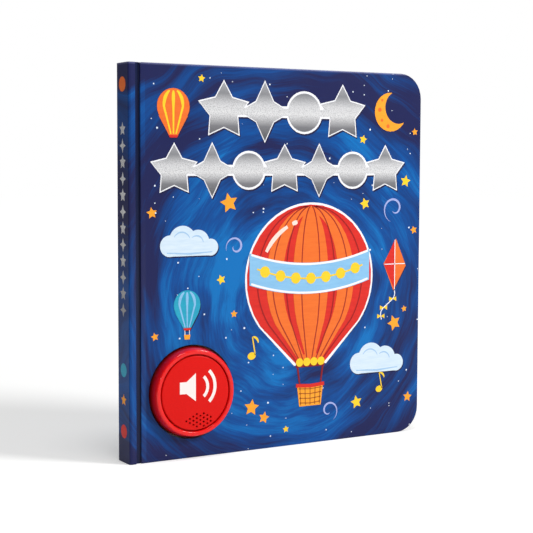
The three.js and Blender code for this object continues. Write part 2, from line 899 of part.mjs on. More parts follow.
// Two wires from the lower edge of the circuit board to the speaker's frame

const wireColours = { red: 0xb01818, black: 0x151515 };
Object.entries(wireColours).forEach(([name, color], i) => {
  const side = i === 0 ? -1 : 1;
  const x = buttonX + side * wireSpread;
  const startY = circuitBackY + glueLine + wireRadius + fitClearance;
  const endY = speakerFrontY - wireRadius - 2 * fitClearance;
  const route = new THREE.CatmullRomCurve3([
    new THREE.Vector3(x + side * 5, startY, buttonZ + circuitLowerEdge + 6),
    new THREE.Vector3(x + side * 5, startY, buttonZ + circuitLowerEdge + 2),
    new THREE.Vector3(x + side * 3, startY - 1, buttonZ + circuitLowerEdge - 1),
    new THREE.Vector3(x + side * 2, endY, buttonZ + speakerOffsetZ + 9),
    new THREE.Vector3(x + side, endY, buttonZ + speakerOffsetZ + 8),
  ]);
  addPart(`speaker_wire_${name}`, wireAlong(route, wireRadius, 14, 8), finish(color, 0.5));
});

// Cover print: fields of colour laid on the sheet, worked out on an artboard that fits the panel

const panelWidth = foreEdgeX - hingeEdgeX;
const artScale = Math.min(panelWidth / artboardWidth, coverHeight / artboardHeight);

// Artboard millimetres, from the panel's lower hinge corner, to the cover.
function art(x, z) {
  const left = hingeEdgeX + (panelWidth - artboardWidth * artScale) / 2;
  const bottom = (coverHeight - artboardHeight * artScale) / 2;
  return new THREE.Vector2(left + x * artScale, bottom + z * artScale);
}

const inkLayers = { background: 0, base: 1, over: 2, top: 3 };

function inkDepth(layer) {
  return layer === 0 ? frontY : frontY - backgroundInk - (layer - 1) * inkThickness;
}

function printed(outline, layer, thickness = inkThickness) {
  const back = inkDepth(layer);
  return plate(outline, back - (layer === 0 ? backgroundInk : thickness), back);
}

const nearButton = disc(coverHoleRadius + printMargin, frontY - 2, frontY + 1, 0, 0, roundSides);

function addPrint(name, shape, color, roughness = 0.4, metalness = 0) {
  addPart(`print_${name}`, shape.subtract(nearButton), finish(color, roughness, metalness));
}

function roundShape(x, z, radius) {
  const centre = art(x, z);
  const sides = radius > 5 ? 2 * smallSides : smallSides;
  return outlineOf(arcPoints(centre.x, centre.y, radius * artScale, 0, 360 - 360 / sides, sides - 1));
}

// A star with any number of points: its waist is the share of the radius between the points.
function starShape(x, z, radius, points, waist, turn = 0) {
  const corners = Array.from({ length: 2 * points }, (_, i) => {
    const reach = i % 2 === 0 ? radius : radius * waist;
    const angle = Math.PI / 2 + THREE.MathUtils.degToRad(turn) + (Math.PI * i) / points;
    return art(x + reach * Math.cos(angle), z + reach * Math.sin(angle));
  });
  return new THREE.Shape(corners);
}

function polygonShape(corners) {
  return new THREE.Shape(corners.map(([x, z]) => art(x, z)));
}

// Two wide arcs of lighter blue sweep round behind the picture.
function sweepShape(x, z, radius, width, fromDegrees, toDegrees) {
  const steps = 18;
  const centre = art(x, z);
  const points = arcPoints(centre.x, centre.y, radius * artScale, fromDegrees, toDegrees, steps);
  for (let i = 0; i <= steps; i += 1) {
    const share = i / steps;
    const angle = THREE.MathUtils.degToRad(toDegrees + (fromDegrees - toDegrees) * share);
    const reach = (radius - width * Math.sin(Math.PI * share) - 0.4) * artScale;
    points.push([centre.x + reach * Math.cos(angle), centre.y + reach * Math.sin(angle)]);
  }
  return outlineOf(points);
}

addPrint('sweep_right', printed(sweepShape(116, 118, 104, 15, -62, 62), inkLayers.background), 0x17549c);
addPrint('sweep_left', printed(sweepShape(112, 124, 100, 15, 112, 200), inkLayers.background), 0x17549c);

// Foil garlands in the title's place: stars, sparkles and dots, strung on a narrow bar and laid on
// a wider white ground

function garland(centreX, centreZ, count, pitch, size, grow, layer, thickness) {
  const pieces = [];
  const motifs = [
    (x, z) => starShape(x, z, size * 0.56 + grow, 5, 0.56),
    (x, z) => starShape(x, z, size * 0.58 + grow, 4, 0.48),
    (x, z) => roundShape(x, z, size * 0.39 + grow),
  ];
  for (let i = 0; i < count; i += 1) {
    const x = centreX + (i - (count - 1) / 2) * pitch;
    pieces.push(printed(motifs[i % motifs.length](x, centreZ), layer, thickness));
  }
  const half = ((count - 1) / 2) * pitch;
  const bar = size * 0.07 + grow;
  const string = polygonShape([
    [centreX - half, centreZ - bar],
    [centreX + half, centreZ - bar],
    [centreX + half, centreZ + bar],
    [centreX - half, centreZ + bar],
  ]);
  return join(...pieces, printed(string, layer, thickness));
}

const garlands = {
  upper: [110, 234, 4, 32, 34],
  lower: [110, 194, 7, 28.5, 30],
};
for (const [name, [x, z, count, pitch, size]] of Object.entries(garlands)) {
  const ground = garland(x, z, count, pitch, size, foilOutline, inkLayers.base, inkThickness);
  addPrint(`${name}_garland_ground`, ground, 0xf4f4f8);
  const foil = garland(x, z, count, pitch, size, 0, inkLayers.over, foilThickness);
  addPrint(`${name}_garland_foil`, foil, 0xc4c6cc, 0.25, 1);
}

// Hot-air balloon: the envelope, its side gores, a light band, a string of yellow lamps, the
// ropes and the basket
const balloonX = 132;
const balloonZ = 118;
const balloonRadius = 52;
const mouthHalfWidth = 12;
const mouthZ = 58;
const tangentAngle = 38;

function balloonOutline(squeeze, shrink) {
  const radius = balloonRadius - shrink;
  const points = [];
  const steps = 24;
  const start = -tangentAngle;
  for (let i = 0; i <= steps; i += 1) {
    const angle = THREE.MathUtils.degToRad(start + ((180 + 2 * tangentAngle) * i) / steps);
    points.push([balloonX + squeeze * radius * Math.cos(angle), balloonZ + radius * Math.sin(angle)]);
  }
  points.push([balloonX - squeeze * mouthHalfWidth, mouthZ + shrink]);
  points.push([balloonX + squeeze * mouthHalfWidth, mouthZ + shrink]);
  return polygonShape(points);
}

addPrint('balloon_envelope', printed(balloonOutline(1, 0), inkLayers.base), 0xd8231f);
const goreField = printed(balloonOutline(0.72, 1), inkLayers.over);
const middleGore = printed(balloonOutline(0.3, 3), inkLayers.over);
const goreGap = printed(balloonOutline(0.5, 6), inkLayers.over);
addPrint('balloon_gores', goreField.subtract(goreGap).add(middleGore), 0xf06a1e);

// The band and the lamp string bow downwards across the envelope.
function bandShape(middleZ, halfHeight, sag, halfWidth) {
  const points = [];
  const steps = 16;
  const sweep = (share, lift) => {
    const x = balloonX + halfWidth * (2 * share - 1);
    const z = balloonZ + middleZ - sag * (1 - (2 * share - 1) ** 2) + lift;
    points.push([x, z]);
  };
  for (let i = 0; i <= steps; i += 1) sweep(i / steps, -halfHeight);
  for (let i = steps; i >= 0; i -= 1) sweep(i / steps, halfHeight);
  return polygonShape(points);
}

const bandHalfWidth = 50;
addPrint('balloon_band', printed(bandShape(8, 11, 8, bandHalfWidth), inkLayers.top), 0x8cc4ea);

const lampCount = 7;
const lampRadius = 4;
const lampRow = 8;
const lampSag = 8;
function lampString() {
  const pieces = [printed(bandShape(lampRow, 0.6, lampSag, bandHalfWidth - 6), inkLayers.top + 1)];
  for (let i = 0; i < lampCount; i += 1) {
    const share = (i + 0.5) / lampCount;
    const x = balloonX + (bandHalfWidth - 6) * (2 * share - 1);
    const z = balloonZ + lampRow - lampSag * (1 - (2 * share - 1) ** 2);
    pieces.push(printed(roundShape(x, z, lampRadius), inkLayers.top + 1));
  }
  return join(...pieces);
}
addPrint('balloon_lamps', lampString(), 0xffd21f);

const basketTopZ = 44;
const basketBottomZ = 27;
addPrint(
  'balloon_ropes',
  join(
    ...[-1, 1].map((side) =>
      printed(
        polygonShape([
          [balloonX + side * 8.2, basketTopZ - 1],
          [balloonX + side * 9.4, basketTopZ - 1],
          [balloonX + side * (mouthHalfWidth - 0.4), mouthZ - 0.3],
          [balloonX + side * (mouthHalfWidth - 1.8), mouthZ - 0.3],
        ]),
        inkLayers.base,
      ),
    ),
    printed(
      polygonShape([
        [balloonX - mouthHalfWidth, mouthZ - 3],
        [balloonX + mouthHalfWidth, mouthZ - 3],
        [balloonX + mouthHalfWidth, mouthZ - 0.2],
        [balloonX - mouthHalfWidth, mouthZ - 0.2],
      ]),
      inkLayers.base,
    ),
  ),
  0x7d1417,
);
addPrint(
  'balloon_basket',
  printed(
    polygonShape([
      [balloonX - 9, basketBottomZ],
      [balloonX + 9, basketBottomZ],
      [balloonX + 11, basketTopZ - 1.4],
      [balloonX - 11, basketTopZ - 1.4],
    ]),
    inkLayers.base,
  ),
  0xe8952c,
);

// Clouds: overlapping rounds on a flat foot
function cloud(x, z, size) {
  const rounds = [
    [-0.62, 0.16, 0.3],
    [-0.22, 0.3, 0.42],
    [0.26, 0.24, 0.36],
    [0.66, 0.1, 0.24],
  ];
  const pieces = rounds.map(([dx, dz, r]) => printed(roundShape(x + dx * size, z + dz * size, r * size), 1));
  const foot = polygonShape([
    [x - 0.66 * size, z - 0.13 * size],
    [x + 0.7 * size, z - 0.13 * size],
    [x + 0.7 * size, z + 0.1 * size],
    [x - 0.66 * size, z + 0.1 * size],
  ]);
  return join(...pieces, printed(foot, 1));
}

addPrint('cloud_left', cloud(36, 140, 24), 0xcfe6f7);
addPrint('cloud_right', cloud(190, 50, 26), 0xcfe6f7);

// Crescent moon, kite, small far balloons and stars
function crescent(x, z, radius) {
  const full = printed(roundShape(x, z, radius), 1);
  return full.subtract(printed(roundShape(x + radius * 0.5, z + radius * 0.25, radius * 0.85), 1));
}

addPrint('moon', crescent(200, 236, 14), 0xffb52a);
addPrint('kite', printed(polygonShape([[204, 106], [215, 124], [206, 144], [195, 126]]), 1), 0xf4742a);

function farBalloon(x, z, radius) {
  const envelope = printed(roundShape(x, z, radius), 1);
  const neck = printed(
    polygonShape([
      [x - 0.9 * radius, z - 0.5 * radius],
      [x - 0.2 * radius, z - 1.7 * radius],
      [x + 0.2 * radius, z - 1.7 * radius],
      [x + 0.9 * radius, z - 0.5 * radius],
    ]),
    1,
  );
  return envelope.add(neck);
}

addPrint('far_balloon_teal', farBalloon(34, 104, 10), 0x1f9fbf);
addPrint('far_balloon_orange', farBalloon(24, 236, 12), 0xf58a1f);

const coverStars = [
  [66, 172, 7, 12],
  [84, 30, 6, -8],
  [205, 82, 6, 20],
];
coverStars.forEach(([x, z, radius, turn], i) => {
  addPrint(`star_${i + 1}`, printed(starShape(x, z, radius, 5, 0.5, turn), 1), 0xffa726);
});

// Spine print: a plain dot near the head and a star near the foot
const spineDotFromHead = 14;
const spineDotRadius = 5;
const spineStarFromFoot = 42;
const spineStarRadius = 4;

function spinePrint(corners, centreZ) {
  const outline = new THREE.Shape(corners);
  const geometry = new THREE.ExtrudeGeometry(outline, { depth: inkThickness, bevelEnabled: false });
  geometry.rotateX(Math.PI / 2);
  geometry.rotateZ(-Math.PI / 2);
  geometry.translate(spineX + inkThickness, frontY + bookThickness / 2, centreZ);
  return solid(geometry);
}

function ringOfPoints(count, radiusAt) {
  return Array.from({ length: count }, (_, i) => {
    const angle = Math.PI / 2 + (2 * Math.PI * i) / count;
    return new THREE.Vector2(radiusAt(i) * Math.cos(angle), radiusAt(i) * Math.sin(angle));
  });
}

const dotCorners = ringOfPoints(smallSides, () => spineDotRadius);
addPart('spine_dot', spinePrint(dotCorners, coverHeight - spineDotFromHead), finish(0xf58a1f, 0.4));
const spineStarCorners = ringOfPoints(10, (i) => (i % 2 === 0 ? spineStarRadius : spineStarRadius / 2));
addPart('spine_star', spinePrint(spineStarCorners, spineStarFromFoot), finish(0xffa726, 0.4));

// Print on the button: a loudspeaker sign and one sound wave, above the grille
const signZ = 4;

function onDisc(points) {
  const corners = points.map(([x, z]) => new THREE.Vector2(buttonX + x, buttonZ + signZ + z));
  return plate(new THREE.Shape(corners), discFaceY - inkThickness, discFaceY);
}

const signWhite = finish(0xfbf6f2, 0.4);
addPart('sign_loudspeaker', onDisc([[-12, -4], [-7, -4], [0, -9.5], [0, 9.5], [-7, 4], [-12, 4]]), signWhite);

function wavePoints(radius, width, spreadDegrees) {
  const steps = 10;
  const along = (reach, i) => {
    const angle = THREE.MathUtils.degToRad(-spreadDegrees + (2 * spreadDegrees * i) / steps);
    return [reach * Math.cos(angle), reach * Math.sin(angle)];
  };
  const outer = Array.from({ length: steps + 1 }, (_, i) => along(radius + width / 2, i));
  const inner = Array.from({ length: steps + 1 }, (_, i) => along(radius - width / 2, steps - i));
  return [...outer, ...inner];
}

addPart('sign_wave', onDisc(wavePoints(9, 2.2, 48)), signWhite);

export default book;
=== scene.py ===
import math

import bmesh
import bpy
from mathutils import Matrix, Vector


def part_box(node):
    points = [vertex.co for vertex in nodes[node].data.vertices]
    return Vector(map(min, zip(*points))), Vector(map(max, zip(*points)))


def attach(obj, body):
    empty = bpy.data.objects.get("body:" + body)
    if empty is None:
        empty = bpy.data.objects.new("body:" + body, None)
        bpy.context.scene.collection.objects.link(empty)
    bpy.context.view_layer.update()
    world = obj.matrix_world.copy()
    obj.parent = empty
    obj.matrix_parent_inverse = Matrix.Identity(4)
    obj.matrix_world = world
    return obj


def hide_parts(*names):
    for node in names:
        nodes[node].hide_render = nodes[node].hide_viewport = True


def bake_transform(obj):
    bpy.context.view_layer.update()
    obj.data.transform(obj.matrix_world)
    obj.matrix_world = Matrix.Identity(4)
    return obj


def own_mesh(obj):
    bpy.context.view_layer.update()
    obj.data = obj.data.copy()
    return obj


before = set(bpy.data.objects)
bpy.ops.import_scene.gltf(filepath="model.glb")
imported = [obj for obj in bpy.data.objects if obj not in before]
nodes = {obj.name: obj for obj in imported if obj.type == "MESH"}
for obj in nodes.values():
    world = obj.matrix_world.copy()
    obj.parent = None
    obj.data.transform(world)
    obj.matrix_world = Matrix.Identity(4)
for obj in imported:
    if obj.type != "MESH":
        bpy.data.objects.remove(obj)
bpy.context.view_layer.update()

# The camera stands low to the left of the spine, where the photograph was taken from: a long
# lens with the whole front cover and a narrow slice of the spine in view.
lens_mm = 89.87
sensor_mm = 36.0
camera_place = Vector((-0.4823, -0.7950, 0.2002))
camera_yaw = math.radians(30.704)
camera_pitch = math.radians(4.523)
camera_roll = math.radians(0.193)

forward = Vector((
    math.sin(camera_yaw) * math.cos(camera_pitch),
    math.cos(camera_yaw) * math.cos(camera_pitch),
    -math.sin(camera_pitch),
))
level_right = Vector((math.cos(camera_yaw), -math.sin(camera_yaw), 0.0))
level_up = level_right.cross(forward)
camera_right = level_right * math.cos(camera_roll) + level_up * math.sin(camera_roll)
camera_up = level_up * math.cos(camera_roll) - level_right * math.sin(camera_roll)
lens = bpy.data.cameras.new("camera")
lens.lens = lens_mm
lens.sensor_width = sensor_mm
camera = bpy.data.objects.new("camera", lens)
turn = Matrix((camera_right, camera_up, -forward)).transposed()
camera.matrix_world = Matrix.Translation(camera_place) @ turn.to_4x4()
bpy.context.scene.collection.objects.link(camera)
bpy.context.scene.camera = camera
bpy.context.scene.view_settings.view_transform = "Standard"


# The floor is a plain white sheet. Seen straight by the camera it is lifted to white, and it
# keeps the soft shadow that the book throws to the left.
def place_node(tree, kind, inputs=None, **settings):
    made = tree.nodes.new(kind)
    for name, value in settings.items():
        setattr(made, name, value)
    for name, value in (inputs or {}).items():
        if isinstance(value, bpy.types.NodeSocket):
            tree.links.new(value, made.inputs[name])
        else:
            made.inputs[name].default_value = value
    return made


def frame_place(tree):
    """Where a point of the surface lies in the shared frame, since each mesh is placed there."""
    return place_node(tree, "ShaderNodeTexCoord").outputs["Object"]


def clear_material(name):
    material = bpy.data.materials.new(name)
    material.use_nodes = True
    material.node_tree.nodes.clear()
    return material, material.node_tree


floor_reach = 6.0
floor_colour = (0.88, 0.88, 0.87, 1.0)
floor_lift_near = 0.29
floor_lift_far = 0.75
floor_fade_start = 0.25
floor_fade_end = 1.6
floor_mesh = bpy.data.meshes.new("floor")
floor_corners = [(-floor_reach, -floor_reach, 0), (floor_reach, -floor_reach, 0)]
floor_corners += [(floor_reach, floor_reach, 0), (-floor_reach, floor_reach, 0)]
floor_mesh.from_pydata(floor_corners, [], [(0, 1, 2, 3)])
floor = bpy.data.objects.new("floor", floor_mesh)
bpy.context.scene.collection.objects.link(floor)
floor_material, tree = clear_material("floor_white")
floor_mesh.materials.append(floor_material)
place = frame_place(tree)
away = place_node(tree, "ShaderNodeVectorMath", {0: place}, operation="LENGTH")
fade = place_node(tree, "ShaderNodeMapRange", {
    "Value": away.outputs["Value"],
    "From Min": floor_fade_start,
    "From Max": floor_fade_end,
    "To Min": floor_lift_near,
    "To Max": floor_lift_far,
})
diffuse = place_node(tree, "ShaderNodeBsdfDiffuse", {"Color": floor_colour})
seen = place_node(tree, "ShaderNodeLightPath")
lift = place_node(
    tree, "ShaderNodeMath", {0: seen.outputs["Is Camera Ray"], 1: fade.outputs[0]}, operation="MULTIPLY",
)
glow = place_node(tree, "ShaderNodeEmission", {"Strength": lift.outputs[0]})
both = place_node(tree, "ShaderNodeAddShader", {0: diffuse.outputs[0], 1: glow.outputs[0]})
place_node(tree, "ShaderNodeOutputMaterial", {"Surface": both.outputs[0]})

# Soft studio light: a dim white room, one large lamp in front to the right, a smaller one above
# for the upper edges, and a weak narrow one on the left that glints along the spine.
room_strength = 0.28
mirrored_strength = 0.2
world = bpy.data.worlds.new("room")
bpy.context.scene.world = world
world.use_nodes = True
tree = world.node_tree
tree.nodes.clear()
seen = place_node(tree, "ShaderNodeLightPath")
mirrored = place_node(tree, "ShaderNodeMapRange", {
    "Value": seen.outputs["Is Glossy Ray"], "To Min": room_strength, "To Max": mirrored_strength,
})
direct = place_node(
    tree, "ShaderNodeMath",
    {0: seen.outputs["Is Camera Ray"], 1: seen.outputs["Is Transmission Ray"]}, operation="MAXIMUM",
)
strength = place_node(
    tree, "ShaderNodeMath", {0: mirrored.outputs[0], 1: direct.outputs[0]}, operation="MAXIMUM",
)
sky = place_node(tree, "ShaderNodeBackground", {"Color": (1, 1, 1, 1), "Strength": strength.outputs[0]})
place_node(tree, "ShaderNodeOutputWorld", {"Surface": sky.outputs[0]})


def lamp(name, place, aim, size, power):
    light = bpy.data.lights.new(name, "AREA")
    light.shape = "DISK"
    light.size = size
    light.energy = power
    holder = bpy.data.objects.new(name, light)
    holder.location = place
    holder.rotation_euler = (Vector(aim) - Vector(place)).to_track_quat("-Z", "Y").to_euler()
    bpy.context.scene.collection.objects.link(holder)


book_middle = (0.0, 0.0, 0.12)
lamp("key_lamp", (1.15, -1.25, 1.2), book_middle, 0.6, 29.5)
lamp("top_lamp", (-0.15, -0.35, 1.7), book_middle, 0.5, 8.0)
lamp("edge_lamp", (-1.0, -1.5, 0.5), book_middle, 0.25, 1.6)


# Printed sheet of the case: laminated paper, deep blue at the edges and lighter in brushed rings
# round the middle of the front cover, with fine white specks. It is drawn tight round the boards,
# and a painted highlight makes it paler along their upper edges.
def linear(code):
    """The scene colour of a paint colour written as six hexadecimal digits."""
    parts = [int(code[i:i + 2], 16) / 255 for i in (0, 2, 4)]
    return tuple(c / 12.92 if c <= 0.04045 else ((c + 0.055) / 1.055) ** 2.4 for c in parts) + (1.0,)


def new_group(name, inputs, outputs):
    group = bpy.data.node_groups.new(name, "ShaderNodeTree")
    for label, kind, value in inputs:
        socket = group.interface.new_socket(label, in_out="INPUT", socket_type=kind)
        socket.default_value = value
    for label, kind in outputs:
        group.interface.new_socket(label, in_out="OUTPUT", socket_type=kind)
    return group, group.nodes.new("NodeGroupInput"), group.nodes.new("NodeGroupOutput")


def colour_steps(tree, fac, stops):
    ramp = tree.nodes.new("ShaderNodeValToRGB")
    while len(ramp.color_ramp.elements) < len(stops):
        ramp.color_ramp.elements.new(0.5)
    for element, (place, colour) in zip(ramp.color_ramp.elements, stops):
        element.position = place
        element.color = colour
    tree.links.new(fac, ramp.inputs["Fac"])
    return ramp.outputs["Color"]


def mix_colours(tree, factor, first, second):
    mix = place_node(tree, "ShaderNodeMix", data_type="RGBA")
    for socket, value in ((mix.inputs[0], factor), (mix.inputs[6], first), (mix.inputs[7], second)):
        if isinstance(value, bpy.types.NodeSocket):
            tree.links.new(value, socket)
        else:
            socket.default_value = value
    return mix.outputs[2]


def split(tree, vector):
    return place_node(tree, "ShaderNodeSeparateXYZ", {0: vector}).outputs


def noise(tree, spot, scale, detail, roughness=0.5):
    return place_node(
        tree, "ShaderNodeTexNoise",
        {"Vector": spot, "Scale": scale, "Detail": detail, "Roughness": roughness},
    ).outputs["Fac"]


def maths(tree, operation, first, second=0.0, clamp=False):
    worked = place_node(tree, "ShaderNodeMath", {0: first, 1: second}, operation=operation, use_clamp=clamp)
    return worked.outputs[0]


swirl_centre = (0.006, 0.0, 0.104)
night_blue = linear("1d2253")
deep_blue = linear("0f3877")
mid_blue = linear("064d98")
bright_blue = linear("0871bc")
speck_white = linear("e6f0fb")
# Painted highlight: a pale blue along the upper edges of the boards, faded in between two heights.
top_highlight_blue = linear("7d80ac")
top_highlight_share = 0.55
top_highlight_start = 0.2625
top_highlight_end = 0.2637
ring_wander = 0.035

brushed_sky, group_in, group_out = new_group(
    "brushed_sky",
    [("Reach", "NodeSocketFloat", 0.17), ("Specks", "NodeSocketFloat", 1.0)],
    [("Colour", "NodeSocketColor"), ("Height", "NodeSocketFloat")],
)
tree = brushed_sky
place = frame_place(tree)
offset = place_node(tree, "ShaderNodeVectorMath", {0: place, 1: swirl_centre}, operation="SUBTRACT")
flat = place_node(tree, "ShaderNodeVectorMath", {0: offset.outputs[0], 1: (1, 0, 1)}, operation="MULTIPLY")
radius = place_node(tree, "ShaderNodeVectorMath", {0: flat.outputs[0]}, operation="LENGTH").outputs["Value"]
heading = place_node(tree, "ShaderNodeVectorMath", {0: flat.outputs[0]}, operation="NORMALIZE").outputs[0]
drift = noise(tree, place, 14.0, 2.0)
wavy_radius = maths(tree, "ADD", radius, maths(tree, "MULTIPLY", drift, ring_wander))


def ring_noise(turns, fineness, detail, roughness):
    """Noise that is drawn out round the centre, as strokes of a wide brush are."""
    around = place_node(
        tree, "ShaderNodeVectorMath", {0: heading, "Scale": turns}, operation="SCALE",
    ).outputs[0]
    parts = split(tree, around)
    spot = place_node(
        tree, "ShaderNodeCombineXYZ",
        {0: parts[0], 1: maths(tree, "MULTIPLY", wavy_radius, fineness), 2: parts[2]},
    )
    return noise(tree, spot.outputs[0], 1.0, detail, roughness)


wide_rings = ring_noise(0.9, 34.0, 2.0, 0.5)
narrow_rings = ring_noise(1.6, 120.0, 3.0, 0.55)
fine_strokes = ring_noise(3.6, 520.0, 6.0, 0.7)
tone = maths(tree, "SUBTRACT", 1.0, maths(tree, "DIVIDE", radius, group_in.outputs["Reach"]), clamp=True)
for rings, contrast in ((wide_rings, 2.3), (narrow_rings, 1.1), (fine_strokes, 0.9)):
    swing = maths(tree, "MULTIPLY", maths(tree, "SUBTRACT", rings, 0.5), contrast)
    tone = maths(tree, "ADD", tone, swing)
painted = colour_steps(
    tree, tone,
    [(0.10, night_blue), (0.36, deep_blue), (0.66, mid_blue), (1.05, bright_blue)],
)


def speck_mask(scale, share, size):
    """Small round dots, one in some of the cells of a grid laid over the cover."""
    parts = split(tree, place)
    spot = place_node(tree, "ShaderNodeCombineXYZ", {0: parts[0], 1: parts[2]})
    cells = place_node(
        tree, "ShaderNodeTexVoronoi", {"Vector": spot.outputs[0], "Scale": scale}, voronoi_dimensions="2D",
    )
    draw = place_node(tree, "ShaderNodeSeparateColor", {0: cells.outputs["Color"]})
    chosen = maths(tree, "LESS_THAN", draw.outputs[0], share)
    reach = maths(tree, "MULTIPLY", maths(tree, "ADD", draw.outputs[1], 0.5), size)
    inside = maths(tree, "LESS_THAN", cells.outputs["Distance"], reach)
    return maths(tree, "MULTIPLY", chosen, inside)


specks = maths(tree, "MAXIMUM", speck_mask(58.0, 0.42, 0.029), speck_mask(120.0, 0.10, 0.042))
specks = maths(tree, "MULTIPLY", specks, group_in.outputs["Specks"])
speckled = mix_colours(tree, specks, painted, speck_white)
height = split(tree, place)[2]
# Painted highlight along the upper edges, where light catches the rounded board edge.
top_highlight = place_node(tree, "ShaderNodeMapRange", {
    "Value": height, "From Min": top_highlight_start, "From Max": top_highlight_end, "To Max": top_highlight_share,
})
tree.links.new(mix_colours(tree, top_highlight.outputs[0], speckled, top_highlight_blue), group_out.inputs["Colour"])
tree.links.new(fine_strokes, group_out.inputs["Height"])

# A faint, even tooth that laminated print has all over.
laminate, group_in, group_out = new_group(
    "laminate",
    [("Roughness", "NodeSocketFloat", 0.36)],
    [("Roughness", "NodeSocketFloat"), ("Height", "NodeSocketFloat")],
)
tree = laminate
place = frame_place(tree)
cloudy = noise(tree, place, 60.0, 3.0)
tooth = noise(tree, place, 2600.0, 2.0)
spread = maths(tree, "MULTIPLY", maths(tree, "SUBTRACT", cloudy, 0.5), 0.10)
tree.links.new(maths(tree, "ADD", group_in.outputs["Roughness"], spread), group_out.inputs["Roughness"])
tree.links.new(tooth, group_out.inputs["Height"])

film_roughness = 0.34
sheet_shine = 0.2
tooth_strength = 0.05


def use_group(tree, group, inputs):
    return place_node(tree, "ShaderNodeGroup", inputs, node_tree=group)


def bump(tree, height, strength, distance=0.0002):
    return place_node(
        tree, "ShaderNodeBump", {"Height": height, "Strength": strength, "Distance": distance},
    ).outputs["Normal"]


def finish_surface(tree, inputs):
    shader = place_node(tree, "ShaderNodeBsdfPrincipled", inputs)
    place_node(tree, "ShaderNodeOutputMaterial", {"Surface": shader.outputs[0]})


def sheet_material(name, reach, specks):
    """The printed and laminated paper, with its painted sky."""
    material, tree = clear_material(name)
    sky = use_group(tree, brushed_sky, {"Reach": reach, "Specks": specks})
    film = use_group(tree, laminate, {"Roughness": film_roughness})
    finish_surface(tree, {
        "Base Color": sky.outputs["Colour"],
        "Roughness": film.outputs["Roughness"],
        "Specular IOR Level": sheet_shine,
        "Normal": bump(tree, film.outputs["Height"], tooth_strength),
    })
    return material


def dress(node_name, material, smooth_degrees=35.0):
    """Gives a part of the frame its finish, with its rounded edges shaded smooth."""
    mesh = nodes[node_name].data
    mesh.materials.clear()
    mesh.materials.append(material)
    mesh.shade_smooth()
    mesh.set_sharp_from_angle(angle=math.radians(smooth_degrees))


front_print = sheet_material("front_print", 0.2, 1.0)
spine_print = sheet_material("spine_print", 0.2, 0.0)
dress("front_wrap", front_print)
dress("spine_wrap", spine_print)
dress("back_wrap", front_print)


# Hinges of the case: beside the spine board the sheet dips into a groove and rises on to the edge
# of the cover. There it is one paper with the spine and the cover.
hinge_x, sheet_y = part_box("front_wrap")[0].x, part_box("front_wrap")[0].y
book_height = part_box("front_wrap")[1].z
shoulder_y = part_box("spine_wrap")[0].y
middle_y = (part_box("front_wrap")[0].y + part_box("back_wrap")[1].y) / 2
groove_width = 0.0032
groove_depth = 0.0016
shoulder_rounding = 0.0008
groove_rounding = 0.0005
cover_edge_rounding = 0.0006
strip_outer_skim = 0.00005
strip_inner_skim = 0.00002
strip_overlap = 0.0035
strip_end_gap = 0.0002
# Painted shade in the groove: the print turns dark blue between these depths.
groove_shade_start = 0.0003
groove_shade_end = 0.0009
groove_shade_blue = linear("071640")
groove_reach = 0.24
groove_gloss = 0.2
groove_gloss_roughness = 0.14


def arc(centre_a, centre_b, radius, start, end, steps):
    """Points along part of a circle, between two directions in degrees."""
    points = []
    for i in range(steps + 1):
        angle = math.radians(start + (end - start) * i / steps)
        points.append((centre_a + radius * math.cos(angle), centre_b + radius * math.sin(angle)))
    return points


def groove_path(skim):
    """The sheet's section over the groove, at a small distance outside the boards."""
    wall_x = hinge_x - groove_width
    floor_y = sheet_y + groove_depth
    foot_y = floor_y - groove_rounding - skim
    rounding = shoulder_rounding + skim
    path = [(wall_x - strip_overlap, shoulder_y - skim)]
    path += arc(wall_x - shoulder_rounding, shoulder_y + shoulder_rounding, rounding, -90, 0, 6)
    path += arc(wall_x + groove_rounding + skim, foot_y, groove_rounding, 180, 90, 6)
    path += arc(hinge_x - groove_rounding - skim, foot_y, groove_rounding, 90, 0, 6)
    rounding = cover_edge_rounding + skim
    path += arc(hinge_x + cover_edge_rounding, sheet_y + cover_edge_rounding, rounding, 180, 270, 6)
    path.append((hinge_x + strip_overlap, sheet_y - skim))
    return path


def new_piece(name, build, material=None, body=None):
    bmesh.ops.recalc_face_normals(build, faces=build.faces)
    mesh = bpy.data.meshes.new(name)
    build.to_mesh(mesh)
    build.free()
    if material:
        mesh.materials.append(material)
    piece = bpy.data.objects.new(name, mesh)
    bpy.context.scene.collection.objects.link(piece)
    if body:
        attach(piece, body)
    return piece


def smooth(piece, degrees):
    piece.data.shade_smooth()
    piece.data.set_sharp_from_angle(angle=math.radians(degrees))


def groove_sheet():
    """The spine's print, with painted shade that darkens it down in the groove."""
    material, tree = clear_material("groove_print")
    sky = use_group(tree, brushed_sky, {"Reach": groove_reach, "Specks": 0.0})
    film = use_group(tree, laminate, {"Roughness": film_roughness})
    depth = split(tree, frame_place(tree))[1]
    from_middle = maths(tree, "ABSOLUTE", maths(tree, "SUBTRACT", depth, middle_y))
    # Painted shade: the deeper the sheet lies in the groove, the darker blue it is.
    groove_shade_mask = place_node(tree, "ShaderNodeMapRange", {
        "Value": from_middle,
        "From Min": middle_y - sheet_y - groove_shade_start,
        "From Max": middle_y - sheet_y - groove_shade_end,
    })
    finish_surface(tree, {
        "Base Color": mix_colours(tree, groove_shade_mask.outputs[0], sky.outputs["Colour"], groove_shade_blue),
        "Roughness": film.outputs["Roughness"],
        "Specular IOR Level": sheet_shine,
        "Coat Weight": groove_gloss,
        "Coat Roughness": groove_gloss_roughness,
        "Normal": bump(tree, film.outputs["Height"], tooth_strength),
    })
    return material


